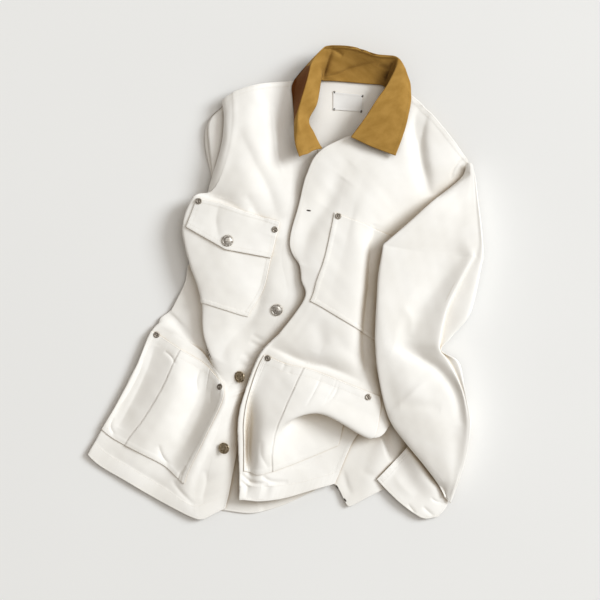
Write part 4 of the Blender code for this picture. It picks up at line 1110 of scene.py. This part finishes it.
def fixOn(source, node, grid, place, lift, lean=0.0):
    # a copy of a fastener in its place, square to the cloth or leaning to the left by some degrees
    down, across = grid["panel"].locate(*np.array(place, dtype=float)[:, None])
    axis = Vector(grid["panel"].facing(down, across, 0.1)[0])
    seat = grid["points"].reshape(-1, 3)
    gap = np.hypot(seat[:, 0] - place[0], seat[:, 1] - place[1]) - 0.1 * seat[:, 2]
    near = seat[gap.argsort()[:9]]
    centre = Vector((place[0], place[1], float(near[:, 2].mean()) + lift)) * mm
    turn = Matrix.Rotation(math.radians(-lean), 4, "Y") @ axis.to_track_quat("Z", "Y").to_matrix().to_4x4()
    mesh = source.data.copy()
    mesh.name = node + "_cap"
    mesh.transform(Matrix.Translation(centre) @ turn)
    piece = bring(node + "_cap", mesh)
    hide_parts(node)


buttonTop = ((1.0, 1.6), (1.0, 2.3), (0.93, 3.0), (0.8, 3.1), (0.76, 2.7), (0.72, 2.75), (0.6, 3.5),
             (0.4, 3.95), (0.15, 4.1))
rivetTop = ((1.0, 0.9), (0.94, 1.5), (0.72, 1.8), (0.5, 1.5), (0.42, 0.9), (0.36, 0.9), (0.3, 1.3),
            (0.12, 1.45))
button = domedDisc("buttonModel", fasteners["buttonRadius"], fasteners["buttonHeight"], buttonTop, nickel)
shadedWornButton = domedDisc("shadedWornModel", fasteners["buttonRadius"], fasteners["buttonHeight"], buttonTop, shadedWornPlate)
rivet = domedDisc("rivetModel", fasteners["rivetRadius"], fasteners["rivetHeight"], rivetTop, wornRivet)
# the two leaning buttons take the darker copy of the plate, painted shade as well as wear
for node, grid, place, lean, model in (("button_flap", flapGrid, (-92, 67), 0, button),
                                       ("button_chest", rightGrid, (-14, -43), 4, button),
                                       ("button_waist", rightGrid, (-73, -150), 38, shadedWornButton),
                                       ("button_hem", rightGrid, (-98, -264), 34, shadedWornButton)):
    fixOn(model, node, grid, place, 0.2 + 0.09 * lean, lean)
for node, grid, place in (("rivet_flap_outer", flapGrid, (-138, 130)),
                          ("rivet_flap_inner", flapGrid, (-17, 85)),
                          ("rivet_chest_left", chestLeftGrid, (84, 106)),
                          ("rivet_right_outer", lowerRightGrid, (-207, -83)),
                          ("rivet_right_inner", lowerRightGrid, (-105, -166)),
                          ("rivet_left_inner", lowerLeftGrid, (-28, -120)),
                          ("rivet_left_outer", lowerLeftGrid, (132, -182))):
    fixOn(rivet, node, grid, place, 0.0)
for model in (button, shadedWornButton, rivet):
    bpy.data.objects.remove(model, do_unlink=True)
print("buttons and rivets set")

# stitching: along the sides named here, every seam that the piece's settings give
seams = (
    ("front_right", rightGrid, ("top", "bottom", "right"), cottonThread, "cloth"),
    ("front_left", leftGrid, ("top", "bottom", "left"), cottonThread, "cloth"),
    ("back", backGrid, ("bottom", "right"), cottonThread, "cloth"),
    ("chest_right", chestRightGrid, ("left", "right", "bottom"), cottonThread, "cloth"),
    ("flap", flapGrid, ("left", "right", "bottom", "top"), cottonThread, "cloth"),
    ("lower_right", lowerRightGrid, ("left", "right", "bottom", "top"), cottonThread, "cloth"),
    ("chest_left", chestLeftGrid, ("left", "bottom"), cottonThread, "cloth"),
    ("lower_left", lowerLeftGrid, ("left", "bottom", "top"), cottonThread, "cloth"),
    ("cuff", cuffGrid, ("top", "right"), cottonThread, "cloth"),
    ("sleeve", sleeveGrid, ("top",), cottonThread, "cloth"),
    ("collar", collarGrid, ("right", "top", "bottom"), tanThread, "collar_cloth"),
)
for name, grid, sides, thread, slot in seams:
    lines = [seamLine(grid, side, distance) for side in sides for distance in grid["sides"][side][1]]
    stitches("stitching_" + name, lines, thread)
print("seams stitched")

# bars of close stitches: the label's corners, the worked buttonhole at the chest, the back's vent
labelTacks = {"rows": 5, "spread": 0.7, "length": 4.2, "lift": 1.0, "slot": "label_cloth"}
buttonholeTack = {"rows": 3, "spread": 0.8, "length": 9.5, "lift": 0.1, "slot": "cloth"}
ventTacks = {"rows": 3, "spread": 0.8, "length": 8.0, "lift": 0.1, "slot": "cloth"}


def tacks(name, grid, places, settings):
    # at each place, given by its centre and its direction in degrees, a few stitches side by side
    lines = []
    rows, length = settings["rows"], settings["length"]
    for (x, y), angle in places:
        run = np.array([math.cos(math.radians(angle)), math.sin(math.radians(angle))])
        off = np.array([-run[1], run[0]])
        for k in range(rows):
            middle = np.array([x, y]) + off * (k - (rows - 1) / 2) * settings["spread"]
            ends = (middle - run * length * 0.7, middle, middle + run * length * 0.7)
            lines.append(pathLine(grid, ends, settings["lift"]))
    return stitches(name, lines, darkThread, length, 0.3, 0.42)


tacks("tacks_label", labelGrid, (((78, 306), 20), ((123, 300), -25), ((78, 279), -10), ((121, 276), -25)),
      labelTacks)
tacks("tacks_buttonhole", leftGrid, (((38, 115), -8),), buttonholeTack)
tacks("tacks_vent", backGrid, (((83, -328), -57), ((96, -349), -57)), ventTacks)
print("tacks sewn")

# camera straight above, as in the photograph, and far enough for little perspective
view = {"centre": (0.0232, -0.0272), "height": 3.2, "width": 0.960, "level": 0.018}
camera = bpy.data.cameras.new("camera")
camera.sensor_width = 36.0
camera.lens = 36.0 * (view["height"] - view["level"]) / view["width"]
camera.clip_end = 40.0
viewer = bpy.data.objects.new("camera", camera)
viewer.location = (*view["centre"], view["height"])
bpy.context.scene.collection.objects.link(viewer)
bpy.context.scene.camera = viewer

# pale floor
deselect()
bpy.ops.mesh.primitive_plane_add(size=8.0, location=(0, 0, -0.0004))
floor = bpy.context.object
floor.name = "floor"
paint, tree, shader = startMaterial("paleFloor", {"Roughness": 0.9, "Specular IOR Level": 0.15})
where = addNode(tree, "ShaderNodeTexCoord")
cloud = addNode(tree, "ShaderNodeTexNoise", {"Scale": 2.0}, {"Vector": where.outputs["Object"]})
colour = addNode(tree, "ShaderNodeMix", {"data_type": "RGBA", "A": srgb("#EDEDEC"), "B": srgb("#F1F1F0")},
                 {"Factor": cloud.outputs["Fac"]})
tree.links.new(colour.outputs["Result"], shader.inputs["Base Color"])
floor.data.materials.append(paint)

# soft studio light, mostly from the right and a little from the collar's side
studio = {"azimuth": 22, "distance": 20.0, "sky": 0.31,
          "key": {"elevation": 33, "size": 8.4, "power": 3260, "colour": (0.92, 0.965, 1.0)},
          "fill": {"elevation": 66, "size": 18.0, "power": 1240, "colour": (1.0, 0.985, 0.96)}}
for name in ("key", "fill"):
    lamp = studio[name]
    azimuth, elevation = math.radians(studio["azimuth"]), math.radians(lamp["elevation"])
    toLight = Vector((math.cos(azimuth) * math.cos(elevation), math.sin(azimuth) * math.cos(elevation),
                      math.sin(elevation)))
    light = bpy.data.lights.new(name + "Light", "AREA")
    light.shape = "DISK"
    light.size = lamp["size"]
    light.energy = lamp["power"]
    light.color = lamp["colour"]
    holder = bpy.data.objects.new(name + "Light", light)
    holder.location = toLight * studio["distance"]
    holder.rotation_euler = toLight.to_track_quat("Z", "Y").to_euler()
    bpy.context.scene.collection.objects.link(holder)
world = bpy.data.worlds.new("studio")
world.use_nodes = True
world.node_tree.nodes["Background"].inputs["Color"].default_value = (1.0, 0.925, 0.83, 1.0)
world.node_tree.nodes["Background"].inputs["Strength"].default_value = studio["sky"]
bpy.context.scene.world = world
bpy.context.scene.view_settings.view_transform = "Standard"
print("camera and light set")

# the cut of each piece of cloth: width and length as cut, and its area where it isn't a rectangle
sheets = (
    (backGrid, (0.60, 0.74), 0.30, "laid", []),
    (rightGrid, (0.32, 0.74), 0.17, "laid", ["back_cloth"]),
    (leftGrid, (0.32, 0.74), 0.17, "laid", ["back_cloth", "front_right_cloth"]),
    (chestRightGrid, (0.135, 0.17), None, "laid", ["front_right_cloth"]),
    (flapGrid, (0.135, 0.07), None, "laid", ["chest_pocket_right_cloth"]),
    (chestLeftGrid, (0.135, 0.17), None, "laid", ["front_left_cloth"]),
    (lowerRightGrid, (0.19, 0.20), None, "laid", ["front_right_cloth"]),
    (lowerLeftGrid, (0.19, 0.20), None, "laid", ["front_left_cloth"]),
    (cuffGrid, (0.09, 0.11), None, "folded", ["sleeve_left_cloth"]),
    (collarGrid, (0.46, 0.08), None, "folded", ["back_cloth"]),
    (labelGrid, (0.048, 0.030), None, "laid", ["back_cloth"]),
    (sleeveGrid, (0.17, 0.58), 0.075, "folded", ["front_left_cloth"]),
)
for grid, flat, area, held, restsOn in sheets:
    report(grid)
